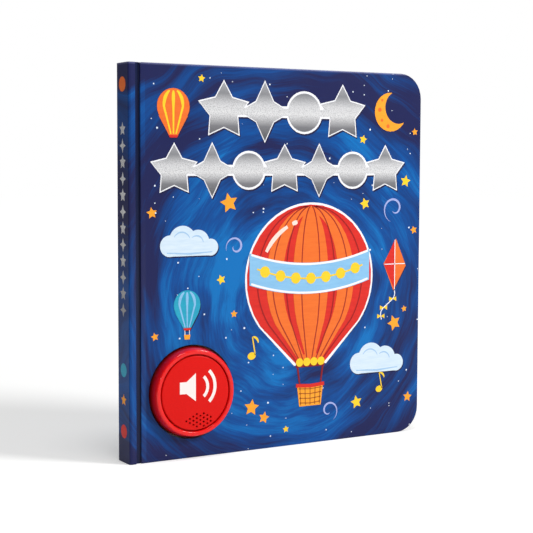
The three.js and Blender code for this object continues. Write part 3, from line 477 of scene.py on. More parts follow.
groove_print = groove_sheet()
for cover, mirror in (("front_cover", False), ("back_cover", True)):
    section = groove_path(strip_outer_skim) + groove_path(strip_inner_skim)[::-1]
    if mirror:
        section = [(x, 2 * middle_y - y) for x, y in section]
    build = bmesh.new()
    low_ring = [build.verts.new((x, y, strip_end_gap)) for x, y in section]
    high_ring = [build.verts.new((x, y, book_height - strip_end_gap)) for x, y in section]
    count = len(section)
    for i in range(count):
        j = (i + 1) % count
        build.faces.new((low_ring[i], low_ring[j], high_ring[j], high_ring[i]))
    build.faces.new(low_ring)
    build.faces.new(high_ring)
    strip = new_piece(f"{cover}_hinge_sheet", build, groove_print)
    smooth(strip, 50.0)
    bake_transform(strip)


# Grey boards inside the case: pressed waste paper, matt, with short dark and light fibres. They
# show only where the sheet is cut for the button and for the battery door.
def fibre_board(name, colour, fleck):
    material, tree = clear_material(name)
    stretched = place_node(tree, "ShaderNodeMapping", {"Vector": frame_place(tree), "Scale": (1, 6, 1)})
    fibres = noise(tree, stretched.outputs[0], 900.0, 5.0)
    tone = colour_steps(tree, fibres, [(0.3, linear(fleck)), (0.62, linear(colour))])
    finish_surface(tree, {
        "Base Color": tone,
        "Roughness": 0.92,
        "Normal": bump(tree, fibres, 0.3),
    })
    return material


board_finish = fibre_board("grey_board", "8d8578", "6a6359")
for name in ("front_board", "back_board", "spine_board"):
    dress(name, board_finish)


# Pages: thick coated board leaves with white faces, glued at the spine, and the two leaves pasted
# in the covers. Their cut edges show the paper core as faint layers.
layer_wander = 0.00025
layers_per_metre = 5200.0


def page_finish():
    material, tree = clear_material("page_board")
    place = frame_place(tree)
    wander = noise(tree, place, 160.0, 3.0)
    depth = maths(tree, "ADD", split(tree, place)[1], maths(tree, "MULTIPLY", wander, layer_wander))
    layers = place_node(
        tree, "ShaderNodeTexNoise",
        {"W": maths(tree, "MULTIPLY", depth, layers_per_metre), "Scale": 1.0, "Detail": 3.0},
        noise_dimensions="1D",
    ).outputs["Fac"]
    geometry = place_node(tree, "ShaderNodeNewGeometry")
    facing = split(tree, geometry.outputs["True Normal"])[1]
    edge = maths(tree, "SUBTRACT", 1.0, maths(tree, "ABSOLUTE", facing), clamp=True)
    core = colour_steps(tree, layers, [(0.35, linear("c9c2b6")), (0.62, linear("eae5dc"))])
    coated = mix_colours(tree, wander, linear("ebe8e0"), linear("e4e0d6"))
    finish_surface(tree, {
        "Base Color": mix_colours(tree, edge, coated, core),
        "Roughness": 0.55,
        "Normal": bump(tree, layers, 0.08),
    })
    return material


page_board = page_finish()
for name in ("page_block", "front_pasted_leaf", "back_pasted_leaf"):
    dress(name, page_board, 20.0)

# Ink fields: flat print under the same film as the sheet. Each is a little uneven in tone, as if
# it had been brushed on the slant.
brush_slant = math.radians(38)
ink_shine = 0.28
brushed_ink, group_in, group_out = new_group(
    "brushed_ink",
    [("Ink", "NodeSocketColor", (1, 1, 1, 1)), ("Shade", "NodeSocketColor", (0, 0, 0, 1)),
     ("Variation", "NodeSocketFloat", 0.35)],
    [("Colour", "NodeSocketColor")],
)
tree = brushed_ink
place = frame_place(tree)
slanted = place_node(
    tree, "ShaderNodeMapping",
    {"Vector": place, "Rotation": (0, brush_slant, 0), "Scale": (1, 1, 7)},
)
strokes = noise(tree, slanted.outputs[0], 70.0, 6.0, 0.65)
amount = maths(tree, "MULTIPLY", maths(tree, "SUBTRACT", 0.66, strokes), 2.2, clamp=True)
amount = maths(tree, "MULTIPLY", amount, group_in.outputs["Variation"])
toned = mix_colours(tree, amount, group_in.outputs["Ink"], group_in.outputs["Shade"])
tree.links.new(toned, group_out.inputs["Colour"])


def ink(name, colour, shade, variation=0.35, roughness=0.36):
    material, tree = clear_material(name)
    paint = use_group(
        tree, brushed_ink, {"Ink": linear(colour), "Shade": linear(shade), "Variation": variation},
    )
    film = use_group(tree, laminate, {"Roughness": roughness})
    finish_surface(tree, {
        "Base Color": paint.outputs["Colour"],
        "Roughness": film.outputs["Roughness"],
        "Specular IOR Level": ink_shine,
        "Normal": bump(tree, film.outputs["Height"], tooth_strength),
    })
    return material


red_ink = ink("red_ink", "e02a20", "a81318")
dark_red_ink = ink("dark_red_ink", "8e1519", "5f0c12")
orange_ink = ink("orange_ink", "f4762a", "d8481a")
amber_ink = ink("amber_ink", "ffab2c", "ef7d1c")
yellow_ink = ink("yellow_ink", "ffd62c", "f7a41c", 0.25)
sky_ink = ink("sky_ink", "8fc6ec", "5b9bd2")
cloud_ink = ink("cloud_ink", "dcecf8", "9cc3e6")
teal_ink = ink("teal_ink", "27a9c8", "12708f")
white_ink = ink("white_ink", "f8f8fb", "dfe4ee", 0.2)
sweep_print = sheet_material("sweep_print", 0.26, 0.0)

finishes = {
    "print_sweep_right": sweep_print,
    "print_sweep_left": sweep_print,
    "print_upper_garland_ground": white_ink,
    "print_lower_garland_ground": white_ink,
    "print_balloon_envelope": red_ink,
    "print_balloon_gores": orange_ink,
    "print_balloon_band": sky_ink,
    "print_balloon_lamps": yellow_ink,
    "print_balloon_ropes": dark_red_ink,
    "print_balloon_basket": amber_ink,
    "print_cloud_left": cloud_ink,
    "print_cloud_right": cloud_ink,
    "print_moon": amber_ink,
    "print_kite": orange_ink,
    "print_far_balloon_teal": teal_ink,
    "print_far_balloon_orange": orange_ink,
    "print_star_1": amber_ink,
    "print_star_2": amber_ink,
    "print_star_3": amber_ink,
    "spine_dot": orange_ink,
    "spine_star": amber_ink,
}
for name, material in finishes.items():
    dress(name, material)


# Silver foil, hot-stamped over the white ground of the two garlands: grey at the top of each row,
# nearly white across the middle and dark at the foot, with a fine grain.
def foil(name, low, high):
    material, tree = clear_material(name)
    place = frame_place(tree)
    height = split(tree, place)[2]
    share = place_node(
        tree, "ShaderNodeMapRange", {"Value": height, "From Min": low, "From Max": high},
    ).outputs[0]
    gradient = colour_steps(tree, share, [
        (0.0, linear("4e4d50")), (0.24, linear("85858a")), (0.46, linear("f8f8f9")),
        (0.60, linear("ececee")), (0.80, linear("97989d")), (1.0, linear("b9babf")),
    ])
    grain = noise(tree, place, 1700.0, 3.0)
    dusting = maths(tree, "MULTIPLY", maths(tree, "SUBTRACT", 0.56, grain), 2.6, clamp=True)
    tone = mix_colours(tree, dusting, gradient, linear("8e8e92"))
    finish_surface(tree, {
        "Base Color": tone,
        "Metallic": 0.35,
        "Roughness": 0.3,
        "Normal": bump(tree, grain, 0.12),
    })
    return material


for row in ("upper", "lower"):
    low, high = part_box(f"print_{row}_garland_foil")
    dress(f"print_{row}_garland_foil", foil(f"{row}_foil", low.z, high.z))

# Drawn details of the print: thin ink lines and dots over the larger fields. They are laid by
# the same press, so each one is a very thin shape just in front of what carries it.
ink_line = 0.00004
under_layer = sheet_y - 0.00003
halo_layer = sheet_y - 0.00006


def round_outline(x, z, radius, squeeze=1.0, sides=28):
    corners = []
    for i in range(sides):
        angle = 2 * math.pi * i / sides
        corners.append((x + squeeze * radius * math.cos(angle), z + radius * math.sin(angle)))
    return corners


def star_outline(x, z, radius, points=5, waist=0.5, turn=0.0):
    corners = []
    for i in range(2 * points):
        reach = radius if i % 2 == 0 else radius * waist
        angle = math.pi / 2 + math.radians(turn) + math.pi * i / points
        corners.append((x + reach * math.cos(angle), z + reach * math.sin(angle)))
    return corners


def stroke(points, width, taper=0.0):
    """The outline of a drawn line, which may thin out towards its ends."""
    left, right = [], []
    for i, (x, z) in enumerate(points):
        before, after = points[max(i - 1, 0)], points[min(i + 1, len(points) - 1)]
        ahead = Vector((after[0] - before[0], after[1] - before[1])).normalized()
        share = i / (len(points) - 1)
        half = width / 2 * (1 - taper * abs(2 * share - 1) ** 2)
        left.append((x - ahead.y * half, z + ahead.x * half))
        right.append((x + ahead.y * half, z - ahead.x * half))
    return left + right[::-1]


def ink_solids(name, outlines, rise, material, body):
    """Very thin solids: each outline, in frame places, and the same outline a small step further."""
    build = bmesh.new()
    for outline in outlines:
        back = [build.verts.new(spot) for spot in outline]
        front = [build.verts.new(corner.co + Vector(rise)) for corner in back]
        build.faces.new(back)
        build.faces.new(front)
        for i in range(len(back)):
            j = (i + 1) % len(back)
            build.faces.new((back[i], back[j], front[j], front[i]))
    new_piece(name, build, material, body)


def laid(name, outlines, back_y, material, body="front_cover"):
    """Printed shapes that face the front at one depth, given in cover millimetres."""
    placed = [[(hinge_x + x / 1000, back_y, z / 1000) for x, z in outline] for outline in outlines]
    ink_solids(name, placed, (0, -ink_line, 0), material, body)


def carrier(node_name):
    """The front face of a printed field that something is laid on."""
    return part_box(node_name)[0].y


def art_centre(node_name):
    low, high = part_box(node_name)
    return ((low.x + high.x) / 2 - hinge_x) * 1000, (low.z + high.z) / 2 * 1000


# Drop shadows: a soft dark edge printed below and to the right of each main shape, in the same
# press run. Each is a copy of the shape, set a little low under it.
shadow_ink = ink("shadow_ink", "141746", "0e1038", 0.5)
shadow_side = 0.7
shadow_drop = {
    "print_upper_garland_ground": 0.0011,
    "print_lower_garland_ground": 0.0011,
    "print_balloon_envelope": 0.0016,
    "print_cloud_left": 0.0009,
    "print_cloud_right": 0.0009,
    "print_far_balloon_teal": 0.0008,
    "print_far_balloon_orange": 0.0008,
    "print_kite": 0.0008,
}
for name, drop in shadow_drop.items():
    shadow_mesh = nodes[name].data.copy()
    front_face = carrier(name)
    for corner in shadow_mesh.vertices:
        corner.co.x += drop * shadow_side
        corner.co.z -= drop
        corner.co.y = under_layer - ink_line if corner.co.y - front_face < ink_line / 2 else under_layer
    shadow_mesh.materials.clear()
    shadow_mesh.materials.append(shadow_ink)
    shadow = bpy.data.objects.new(f"shadow_{name}", shadow_mesh)
    bpy.context.scene.collection.objects.link(shadow)
    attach(shadow, "front_cover")

# Hot-air balloon, the main print of the cover: a pale outline round the envelope, seams between its
# gores, two bright strokes where the light falls on it, a scalloped skirt and a woven basket. All
# of it is ink on the sheet.
envelope_low, envelope_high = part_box("print_balloon_envelope")
balloon_x, _ = art_centre("print_balloon_envelope")
balloon_radius = (envelope_high.x - envelope_low.x) / 2 * 1000
balloon_z = envelope_high.z * 1000 - balloon_radius
mouth_z = envelope_low.z * 1000
mouth_half = 12.0
tangent = 38.0
halo_width = 1.5
outline_steps = 48


def balloon_outline(squeeze, grow):
    points = arc(0.0, 0.0, balloon_radius + grow, -tangent, 180 + tangent, outline_steps)
    points = [(balloon_x + squeeze * x, balloon_z + z) for x, z in points]
    points.append((balloon_x - squeeze * mouth_half - grow, mouth_z - grow))
    points.append((balloon_x + squeeze * mouth_half + grow, mouth_z - grow))
    return points


laid("balloon_outline", [balloon_outline(1.0, halo_width)], halo_layer, white_ink)
seam_ink = ink("seam_ink", "a3191a", "7e1014", 0.3)
seam_width = 0.8
seams = []
for squeeze in (-0.86, -0.62, -0.4, -0.15, 0.15, 0.4, 0.62, 0.86):
    side = balloon_outline(squeeze, -1.0)
    seams.append(stroke([side[-1]] + side[:outline_steps // 2], seam_width))
laid("balloon_seams", seams, carrier("print_balloon_gores"), seam_ink)
glint_width = 3.2
glint_reach = 0.8 * balloon_radius
glints = []
for start, end in ((118, 152), (106, 112)):
    glints.append(stroke(arc(balloon_x, balloon_z, glint_reach, start, end, 14), glint_width, 0.3))
glint_ink = ink("glint_ink", "ffe3d6", "ffd0bd", 0.2)
laid("balloon_glints", glints, carrier("print_balloon_gores") - ink_line, glint_ink)
scallop = mouth_half / 4
scallops = []
for i in range(4):
    scallops.append(round_outline(balloon_x - mouth_half + scallop * (2 * i + 1), mouth_z + 0.6, scallop))
laid("balloon_skirt", scallops, carrier("print_balloon_gores") - ink_line, yellow_ink)
basket_low, basket_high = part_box("print_balloon_basket")
basket_bottom, basket_top = basket_low.z * 1000, basket_high.z * 1000
basket_half_top = (basket_high.x - basket_low.x) / 2 * 1000
weave_ink = ink("weave_ink", "b8641c", "924a14", 0.3)
cane_width = 0.7
weave = []
for i in range(4):
    z = basket_bottom + 2.6 + 3.4 * i
    half = basket_half_top - 2 + 2 * (z - basket_bottom) / (basket_top - basket_bottom) - 0.8
    weave.append(stroke([(balloon_x - half, z), (balloon_x, z - 0.7), (balloon_x + half, z)], cane_width))
for i in range(-2, 3):
    foot, head = (balloon_x + 3.9 * i, basket_bottom + 0.8), (balloon_x + 4.3 * i, basket_top - 0.8)
    weave.append(stroke([foot, head], cane_width))
laid("basket_weave", weave, carrier("print_balloon_basket"), weave_ink)
rim_half = 11.8
rim = [(balloon_x - rim_half, basket_top - 0.4), (balloon_x, basket_top - 1.3)]
rim.append((balloon_x + rim_half, basket_top - 0.4))
laid("basket_rim", [stroke(rim, 2.6)], carrier("print_balloon_basket") - ink_line, red_ink)
band_low, band_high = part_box("print_balloon_band")
band_sag = 8.0
band_half_height = 11.0
band_half_width = (band_high.x - band_low.x) / 2 * 1000
band_level = band_high.z * 1000 - band_half_height
band_steps = 24


def band_line(lift, inset):
    points = []
    for i in range(band_steps + 1):
        share = 2 * i / band_steps - 1
        x = balloon_x + (band_half_width - inset) * share
        points.append((x, band_level - band_sag * (1 - share ** 2) + lift))
    return points


edge_width = 1.5
edge_lift = band_half_height - 0.9
edges = [stroke(band_line(lift, 1.3), edge_width) for lift in (edge_lift, -edge_lift)]
laid("band_edges", edges, carrier("print_balloon_band"), white_ink)

# Clouds, printed in pale blue ink: a cooler line along the foot of each and a curl on its two
# largest rounds.
cloud_shade = ink("cloud_shade", "a9cdec", "86b0da", 0.4)
for name, size in (("left", 24.0), ("right", 26.0)):
    x, z = art_centre(f"print_cloud_{name}")
    front_face = carrier(f"print_cloud_{name}")
    curls = [
        stroke(arc(x - 0.24 * size, z - 0.02 * size, 0.27 * size, 20, 150, 14), 1.0, 0.6),
        stroke(arc(x + 0.22 * size, z - 0.08 * size, 0.22 * size, 10, 130, 14), 1.0, 0.6),
    ]
    foot = [(x - 0.70 * size, z - 0.32 * size), (x, z - 0.36 * size), (x + 0.72 * size, z - 0.32 * size)]
    curls.append(stroke(foot, 1.3, 0.5))
    laid(f"cloud_shade_{name}", curls, front_face, cloud_shade)

# Far balloons: lighter stripes and a red collar on each envelope. The lower one, which has room
# under its neck, also hangs two ropes and a small basket.
for name, stripe in (("teal", sky_ink), ("orange", yellow_ink)):
    low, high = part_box(f"print_far_balloon_{name}")
    x, _ = art_centre(f"print_far_balloon_{name}")
    radius = (high.x - low.x) / 2 * 1000
    z = high.z * 1000 - radius
    stripes = []
    for squeeze in (-0.62, 0.0, 0.62):
        quarter = arc(0.0, 0.0, 0.94 * radius, 68, 0, 7)
        points = [(x + squeeze * u, z + v) for u, v in quarter]
        points.append((x + squeeze * 0.25 * radius, z - 1.5 * radius))
        stripes.append(stroke(points, 0.2 * radius, 0.6))
    laid(f"far_stripes_{name}", stripes, carrier(f"print_far_balloon_{name}"), stripe)
    foot = z - 1.7 * radius
    neck = [(x - 0.3 * radius, foot + 1.6), (x + 0.3 * radius, foot + 1.6)]
    neck += [(x + 0.22 * radius, foot), (x - 0.22 * radius, foot)]
    laid(f"far_neck_{name}", [neck], carrier(f"print_far_balloon_{name}") - ink_line, red_ink)
x, _ = art_centre("print_far_balloon_teal")
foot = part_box("print_far_balloon_teal")[0].z * 1000
rim_z, base_z = foot - 3.0, foot - 6.2
ropes = [stroke([(x + side, foot), (x + side, rim_z - 0.2)], 0.5) for side in (-1.7, 1.7)]
basket = [(x - 2.4, rim_z), (x + 2.4, rim_z), (x + 1.9, base_z), (x - 1.9, base_z)]
laid("far_ropes", ropes, halo_layer, white_ink)
laid("far_basket", [basket], halo_layer - ink_line, amber_ink)

# Kite, printed on the right of the balloon: its left half in a darker ink, two crossed spars in
# white, and a swaying tail with three bows.
kite_low, kite_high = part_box("print_kite")
kite_x, kite_z = art_centre("print_kite")
kite_half_width = (kite_high.x - kite_low.x) / 2 * 1000
kite_top, kite_foot = kite_high.z * 1000, kite_low.z * 1000
kite_arm = kite_z + 0.5
half_kite = [(kite_x, kite_top - 0.4), (kite_x, kite_foot + 0.4), (kite_x - kite_half_width + 0.4, kite_arm)]
laid("kite_half", [half_kite], carrier("print_kite"), red_ink)
spar_width = 0.6
spar_gap = 0.8
spar_half = kite_half_width - spar_gap
spars = [
    stroke([(kite_x, kite_top - spar_gap), (kite_x, kite_foot + spar_gap)], spar_width),
    stroke([(kite_x - spar_half, kite_arm), (kite_x + spar_half, kite_arm)], spar_width),
]
laid("kite_spars", spars, carrier("print_kite") - ink_line, white_ink)
tail_drift = 13.0
tail_sway = 2.6
tail_drop = 21.0
tail_steps = 24
tail = []
for i in range(tail_steps + 1):
    fall = i / tail_steps
    sway = tail_sway * math.sin(2.2 * math.pi * fall)
    tail.append((kite_x - tail_drift * fall + sway, kite_foot - tail_drop * fall))
laid("kite_tail", [stroke(tail, 0.7)], halo_layer, white_ink)
bow_half = 3.2
bows = []
for i in (7, 14, 21):
    x, z = tail[i]
    bows.append([(x, z), (x - bow_half, z + 1.8), (x - bow_half, z - 1.6)])
    bows.append([(x, z), (x + bow_half, z + 1.6), (x + bow_half, z - 1.8)])
laid("kite_bows", bows, halo_layer - ink_line, yellow_ink)

# Moon: an amber crescent in the upper right corner. A few dimples are printed over it in a deeper
# orange ink.
moon_x, moon_z = art_centre("print_moon")
dimple_places = [(-8.6, 1.5, 1.5), (-6.6, -6.0, 1.1), (-1.2, -10.2, 1.4), (-6.6, 8.4, 0.9)]
dimples = [round_outline(moon_x + x, moon_z + z, radius) for x, z, radius in dimple_places]
laid("moon_dimples", dimples, carrier("print_moon"), orange_ink)

# Small stars: five-pointed, printed in two golds and spread over the free parts of the sky.
# Each has its place, its size and its turn.
gold_stars = [
    (8, 166, 4.0, 8), (214, 186, 4.6, -10), (222, 150, 3.2, 14), (60, 120, 3.6, 20), (94, 22, 4.4, -14),
    (172, 26, 5.0, 10), (218, 26, 4.0, -6), (178, 170, 4.4, 16), (70, 96, 2.8, 0), (176, 216, 3.4, -12),
    (10, 84, 3.0, 12), (112, 12, 2.6, 4), (214, 92, 2.6, 8), (45, 255, 2.8, -8), (222, 222, 2.8, 6),
]
stars = [star_outline(x, z, radius, turn=turn) for x, z, radius, turn in gold_stars]
laid("gold_stars", stars[::2], halo_layer, amber_ink)
laid("yellow_stars", stars[1::2], halo_layer, yellow_ink)

# Wind curls and music notes: printed lilac strokes that thin out towards both ends, and plain
# yellow notes for the sound.
lilac_ink = ink("lilac_ink", "a9b4e6", "8793d4", 0.5)
curl_closing = 0.78


def curl(x, z, radius, start, end, steps=30):
    """A spiral that closes in on its centre, as a drawn gust of wind does."""
    points = []
    for i in range(steps + 1):
        share = i / steps
        reach = radius * (1 - curl_closing * share)
        angle = math.radians(start + (end - start) * share)
        points.append((x + reach * math.cos(angle), z + reach * math.sin(angle)))
    return points


wind = [
    stroke(curl(71, 142, 7.5, 200, -190), 1.5, 0.9),
    stroke(curl(204, 166, 10, 250, -130), 1.6, 0.9),
    stroke(curl(148, 22, 8, -60, 300), 1.4, 0.9),
]
laid("wind_curls", wind, halo_layer, lilac_ink)
note_places = [(84, 66, 1.0, 10), (96, 84, 0.8, -8), (192, 34, 0.9, 12)]
notes = []
for x, z, scale, turn in note_places:
    lean = math.radians(turn)
    head = round_outline(0, 0, 2.6 * scale, 1.25, 20)
    stem = stroke([(2.9 * scale, 0), (2.9 * scale, 13 * scale)], 0.9 * scale)
    flag = stroke(arc(2.4 * scale, 8.6 * scale, 4.4 * scale, 84, -10, 8), 1.6 * scale, 0.7)
    for outline in (head, stem, flag):
        notes.append([
            (x + u * math.cos(lean) - v * math.sin(lean), z + u * math.sin(lean) + v * math.cos(lean))
            for u, v in outline
        ])
laid("music_notes", notes, halo_layer, yellow_ink)

# Spine print: a column of small foil sparkles and stars, and two more dots near the foot. They are
# pressed on the flat of the spine.
spine_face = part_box("spine_wrap")[0].x
spine_foil = foil("spine_foil", 0.0, 0.36)
sparkle_pitch = 0.0108
sparkle_radius = 4.7
first_sparkle = 0.102
sparkle_count = 12
sparkle_waist = 0.42
star_waist = 0.5
dot_radius = 4.6
teal_dot_z = 0.062
red_dot_z = 0.021


def on_spine(name, outlines, material):
    """Printed shapes on the spine: each outline is in millimetres about its own centre height."""
    placed = []
    for centre_z, outline in outlines:
        placed.append([(spine_face, middle_y - u / 1000, centre_z + v / 1000) for u, v in outline])
    ink_solids(name, placed, (-ink_line, 0, 0), material, "book_block")


sparkles = []
for i in range(sparkle_count):
    points, waist = (5, star_waist) if i % 2 else (4, sparkle_waist)
    outline = star_outline(0, 0, sparkle_radius, points, waist)
    sparkles.append((first_sparkle + i * sparkle_pitch, outline))
on_spine("spine_sparkles", sparkles, spine_foil)
dot = round_outline(0, 0, dot_radius)
on_spine("spine_teal_dot", [(teal_dot_z, dot)], teal_ink)
on_spine("spine_red_dot", [(red_dot_z, dot)], red_ink)

# Button housing: one polished red moulding that stands through the pages and the front cover, held
# by screws from behind. The wall tapers to a rounded rim, which drops into a groove round the disc.
housing_low, housing_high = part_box("button_housing")
button_x = (housing_low.x + housing_high.x) / 2
button_z = (housing_low.z + housing_high.z) / 2
face_y = housing_low.y
wall_radius = (housing_high.x - housing_low.x) / 2
rim_outer = 0.0292
rim_inner = 0.0261
rim_rounding = 0.0009
rim_depth = 0.0034
wall_thickness = 0.0018
throat_wall = 0.0019
wall_lean = 14
fine_sides = 144


def turned(profile, sides, closed, centre_x, centre_z):
    """A turned form about an axis along Y. An open profile starts and ends on the axis."""
    build = bmesh.new()
    rings = []
    for radius, y in profile:
        if radius == 0:
            rings.append([build.verts.new((centre_x, y, centre_z))])
            continue
        ring = []
        for i in range(sides):
            angle = 2 * math.pi * i / sides
            spot = (centre_x + radius * math.cos(angle), y, centre_z + radius * math.sin(angle))
            ring.append(build.verts.new(spot))
        rings.append(ring)
    pairs = list(zip(rings, rings[1:]))
    if closed:
        pairs.append((rings[-1], rings[0]))
    for first, second in pairs:
        for i in range(sides):
            j = (i + 1) % sides
            corners = [first[i % len(first)], first[j % len(first)]]
            corners += [second[j % len(second)], second[i % len(second)]]
            face = []
            for corner in corners:
                if corner not in face:
                    face.append(corner)
            if len(face) > 2:
                build.faces.new(face)
    return build


moulded, group_in, group_out = new_group(
    "moulded_grain",
    [("Scale", "NodeSocketFloat", 1800.0), ("Roughness", "NodeSocketFloat", 0.25),
     ("Spread", "NodeSocketFloat", 0.08)],
    [("Height", "NodeSocketFloat"), ("Roughness", "NodeSocketFloat")],
)
tree = moulded
place = frame_place(tree)
grain = noise(tree, place, group_in.outputs["Scale"], 3.0, 0.6)
smudge = noise(tree, place, 90.0, 3.0)
tree.links.new(grain, group_out.inputs["Height"])
spread = maths(tree, "MULTIPLY", maths(tree, "SUBTRACT", smudge, 0.5), group_in.outputs["Spread"])
tree.links.new(maths(tree, "ADD", group_in.outputs["Roughness"], spread), group_out.inputs["Roughness"])


def deeper(colour, share):
    """A paint colour, darkened to a share of its strength."""
    return tuple(c * share for c in linear(colour)[:3]) + (1.0,)


def plastic(name, colour, roughness, scale, grain_strength, spread=0.08, shine=0.5):
    material, tree = clear_material(name)
    skin = use_group(tree, moulded, {"Scale": scale, "Roughness": roughness, "Spread": spread})
    mottle = place_node(tree, "ShaderNodeTexNoise", {"Scale": 40.0, "Detail": 2.0}).outputs["Fac"]
    finish_surface(tree, {
        "Base Color": mix_colours(tree, mottle, linear(colour), deeper(colour, 0.86)),
        "Roughness": skin.outputs["Roughness"],
        "Specular IOR Level": shine,
        "Normal": bump(tree, skin.outputs["Height"], grain_strength, 0.0001),
    })
    return material


# The moulding's own red, and the dark red of the painted shade down its wall and in the groove.
rim_red = linear("ee0d0c")
wall_shade_red = linear("6a0206")


def shaded_red():
    """The moulding's red, bright on the rim, with painted shade that deepens it down the wall and in the
    groove.
    """
    material, tree = clear_material("housing_red")
    skin = use_group(tree, moulded, {"Scale": 1200.0, "Roughness": 0.2, "Spread": 0.08})
    depth = split(tree, frame_place(tree))[1]
    # Painted shade: the red darkens with depth from the rim towards the cover.
    wall_shade = place_node(tree, "ShaderNodeMapRange", {
        "Value": depth, "From Min": face_y + rim_rounding, "From Max": sheet_y,
    }).outputs[0]
    finish_surface(tree, {
        "Base Color": mix_colours(tree, wall_shade, rim_red, wall_shade_red),
        "Roughness": skin.outputs["Roughness"],
        "Specular IOR Level": 0.25,
        "Coat Weight": 0.45,
        "Coat Roughness": 0.05,
        "Normal": bump(tree, skin.outputs["Height"], 0.02, 0.0001),
    })
    return material


housing_red = shaded_red()
wall_in = wall_radius - wall_thickness
throat = rim_outer + (wall_radius - rim_outer) * rim_depth / (sheet_y - face_y) - throat_wall
housing_profile = [
    (wall_in, housing_high.y),
    (wall_in, sheet_y + rim_rounding),
    (throat, sheet_y),
    (throat, face_y + rim_depth),
    (rim_inner, face_y + rim_depth),
]
housing_profile += arc(rim_inner + rim_rounding, face_y + rim_rounding, rim_rounding, -180, -90, 10)
housing_profile += arc(rim_outer - rim_rounding, face_y + rim_rounding, rim_rounding, -90, -wall_lean, 10)
housing_profile += [(wall_radius, sheet_y), (wall_radius, housing_high.y)]
build = turned(housing_profile, fine_sides, True, button_x, button_z)
housing = new_piece("housing_shell", build, housing_red)
smooth(housing, 40.0)
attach(housing, "back_cover")
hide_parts("button_housing")

# Button disc: a satin red cap, moulded with a soft edge and a skirt, which slides in the housing.
# Twenty or so small holes below its middle let the sound out.
disc_low, disc_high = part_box("button_disc")
disc_radius = 0.0252
disc_rounding = 0.0007
disc_thickness = 0.0016
skirt_wall = 0.0014
lip_thickness = 0.001
lip_radius = (disc_high.x - disc_low.x) / 2
skirt_depth = 0.0027
boss_radius = 0.0022
skirt_end = disc_low.y + disc_thickness + skirt_depth
hole_radius = 0.00072
hole_flare = 0.00012
hole_sides = 20
drill_margin = 0.001
column_pitch = 0.00265
row_pitch = 0.0028
grille_x = 0.0022
grille_z = -0.0186
grille_half_width = 0.0106
grille_half_height = 0.0052
disc_profile = [(0.0, disc_low.y)]
disc_profile += arc(disc_radius - disc_rounding, disc_low.y + disc_rounding, disc_rounding, -90, 0, 8)
disc_profile += [
    (disc_radius, skirt_end - lip_thickness),
    (lip_radius, skirt_end - lip_thickness),
    (lip_radius, skirt_end),
    (disc_radius - skirt_wall, skirt_end),
    (disc_radius - skirt_wall, disc_low.y + disc_thickness),
    (boss_radius, disc_low.y + disc_thickness),
    (boss_radius, disc_high.y),
    (0.0, disc_high.y),
]
cap = new_piece("button_cap", turned(disc_profile, fine_sides, False, button_x, button_z))


def grille_places():
    places = []
    for i in range(-3, 5):
        x = grille_x - column_pitch / 2 + i * column_pitch
        stagger = (i % 2) / 2
        for j in range(-2, 3):
            rise = (j + 0.5 - stagger) * row_pitch
            if ((x - grille_x) / grille_half_width) ** 2 + (rise / grille_half_height) ** 2 < 1:
                places.append((x, grille_z + rise))
    return places


def drill(piece, places):
    """Cuts small flared holes through a piece along Y."""
    for number, (x, z) in enumerate(places):
        profile = [
            (0.0, disc_low.y - drill_margin),
            (hole_radius + hole_flare, disc_low.y - drill_margin),
            (hole_radius + hole_flare, disc_low.y),
            (hole_radius, disc_low.y + hole_flare),
            (hole_radius, disc_low.y + disc_thickness + drill_margin),
            (0.0, disc_low.y + disc_thickness + drill_margin),
        ]
        bit = new_piece(f"bit_{number}", turned(profile, hole_sides, False, button_x + x, button_z + z))
        cut = piece.modifiers.new("hole", "BOOLEAN")
        cut.operation = "DIFFERENCE"
        cut.solver = "EXACT"
        cut.object = bit
        bpy.context.view_layer.update()
        drilled = piece.evaluated_get(bpy.context.evaluated_depsgraph_get())
        shaped = bpy.data.meshes.new_from_object(drilled)
        piece.modifiers.clear()
        piece.data = shaped
        bpy.data.objects.remove(bit)


drill(cap, grille_places())
disc_red = plastic("disc_red", "e6140f", 0.36, 5200.0, 0.16, spread=0.10, shine=0.14)
cap.data.materials.append(disc_red)
smooth(cap, 35.0)
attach(cap, "button")
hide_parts("button_disc")

# Return spring: a fine steel coil round the switch, which pushes the cap out.
coil_low, coil_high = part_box("return_spring")
coil_wire = 0.00035
coil_radius = (coil_high.x - coil_low.x) / 2 - coil_wire
coil_turns = 6
wire_sides = 8
steps_per_turn = 28
coil_steps = coil_turns * steps_per_turn
coil_end_gap = 0.00003
coil_start = coil_low.y + coil_wire + coil_end_gap
coil_end = coil_high.y - coil_wire - coil_end_gap
build = bmesh.new()
rings = []
for i in range(coil_steps + 1):
    share = i / coil_steps
    angle = 2 * math.pi * coil_turns * share
    outward = Vector((math.cos(angle), 0, math.sin(angle)))
    level = coil_start + (coil_end - coil_start) * share
    middle = Vector((button_x, level, button_z)) + outward * coil_radius
    ring = []
    for k in range(wire_sides):
        around = 2 * math.pi * k / wire_sides
        side = outward * math.cos(around) + Vector((0, math.sin(around), 0))
        ring.append(build.verts.new(middle + side * coil_wire))
    rings.append(ring)
for first, second in zip(rings, rings[1:]):
    for k in range(wire_sides):
        j = (k + 1) % wire_sides
        build.faces.new((first[k], first[j], second[j], second[k]))
build.faces.new(rings[0])
build.faces.new(rings[-1])
spring_steel = plastic("spring_steel", "c8cace", 0.3, 1500.0, 0.05)
coil = new_piece("return_coil", build, spring_steel, "back_cover")
smooth(coil, 60.0)
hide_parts("return_spring")
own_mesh(coil)

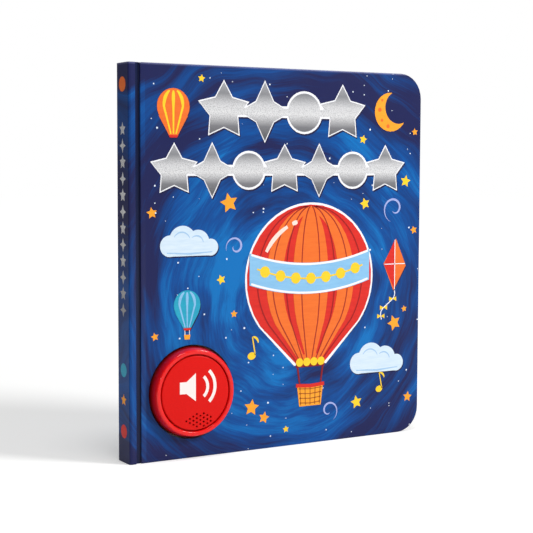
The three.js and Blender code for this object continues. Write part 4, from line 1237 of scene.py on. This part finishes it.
# Button sign: a loudspeaker and two sound waves, printed in one pass of white ink on the cap. The
# wider wave is laid here, and rides on the cap with the rest.
sign_ink = ink("sign_ink", "fdf3ee", "f3ddd6", 0.15, 0.4)
for name in ("sign_loudspeaker", "sign_wave"):
    dress(name, sign_ink)
wave_radius = 14.6
wave_width = 2.3
wave_spread = 46
sign_lift = 4.0
sign_x = (button_x - hinge_x) * 1000
sign_z = button_z * 1000 + sign_lift
wide_wave = stroke(arc(sign_x, sign_z, wave_radius, -wave_spread, wave_spread, 20), wave_width)
laid("sign_wide_wave", [wide_wave], disc_low.y, sign_ink, "button")

# Sound unit: a black base with the battery tub, and on it the speaker, the circuit board and the
# small parts. Most of it shows only through the grille or with the door off.
black_plastic = plastic("black_plastic", "1f1f22", 0.5, 1500.0, 0.12)


def metal(name, colour, roughness, scale):
    material, tree = clear_material(name)
    brushed = place_node(tree, "ShaderNodeMapping", {"Vector": frame_place(tree), "Scale": (1, 12, 1)})
    lines = noise(tree, brushed.outputs[0], scale, 3.0)
    finish_surface(tree, {
        "Base Color": mix_colours(tree, lines, linear(colour), deeper(colour, 0.72)),
        "Metallic": 1.0,
        "Roughness": roughness,
        "Normal": bump(tree, lines, 0.08),
    })
    return material


bright_metal = metal("bright_metal", "d2d5da", 0.26, 900.0)
cell_steel = metal("cell_steel", "dcdee0", 0.2, 500.0)
magnet_steel = metal("magnet_steel", "6c7077", 0.4, 700.0)
inner_finishes = {
    "sound_unit_base": black_plastic,
    "switch_body": black_plastic,
    "battery_door": black_plastic,
    "circuit_board": plastic("solder_mask", "1f6b3a", 0.4, 700.0, 0.10),
    "sound_chip": plastic("chip_resin", "101012", 0.22, 300.0, 0.10),
    "switch_plunger": plastic("ivory_plastic", "ded8c8", 0.5, 900.0, 0.05),
    "speaker_cone": plastic("cone_paper", "2a2a2c", 0.8, 1400.0, 0.4),
    "speaker_magnet": magnet_steel,
    "speaker_wire_red": plastic("red_sleeve", "b01818", 0.45, 900.0, 0.05),
    "speaker_wire_black": plastic("black_sleeve", "151515", 0.45, 900.0, 0.05),
}
for name in nodes:
    if name.startswith("battery_cell"):
        inner_finishes[name] = cell_steel
    if "screw" in name or "contact" in name or name in ("return_spring", "speaker_frame"):
        inner_finishes[name] = bright_metal
for name, material in inner_finishes.items():
    dress(name, material)
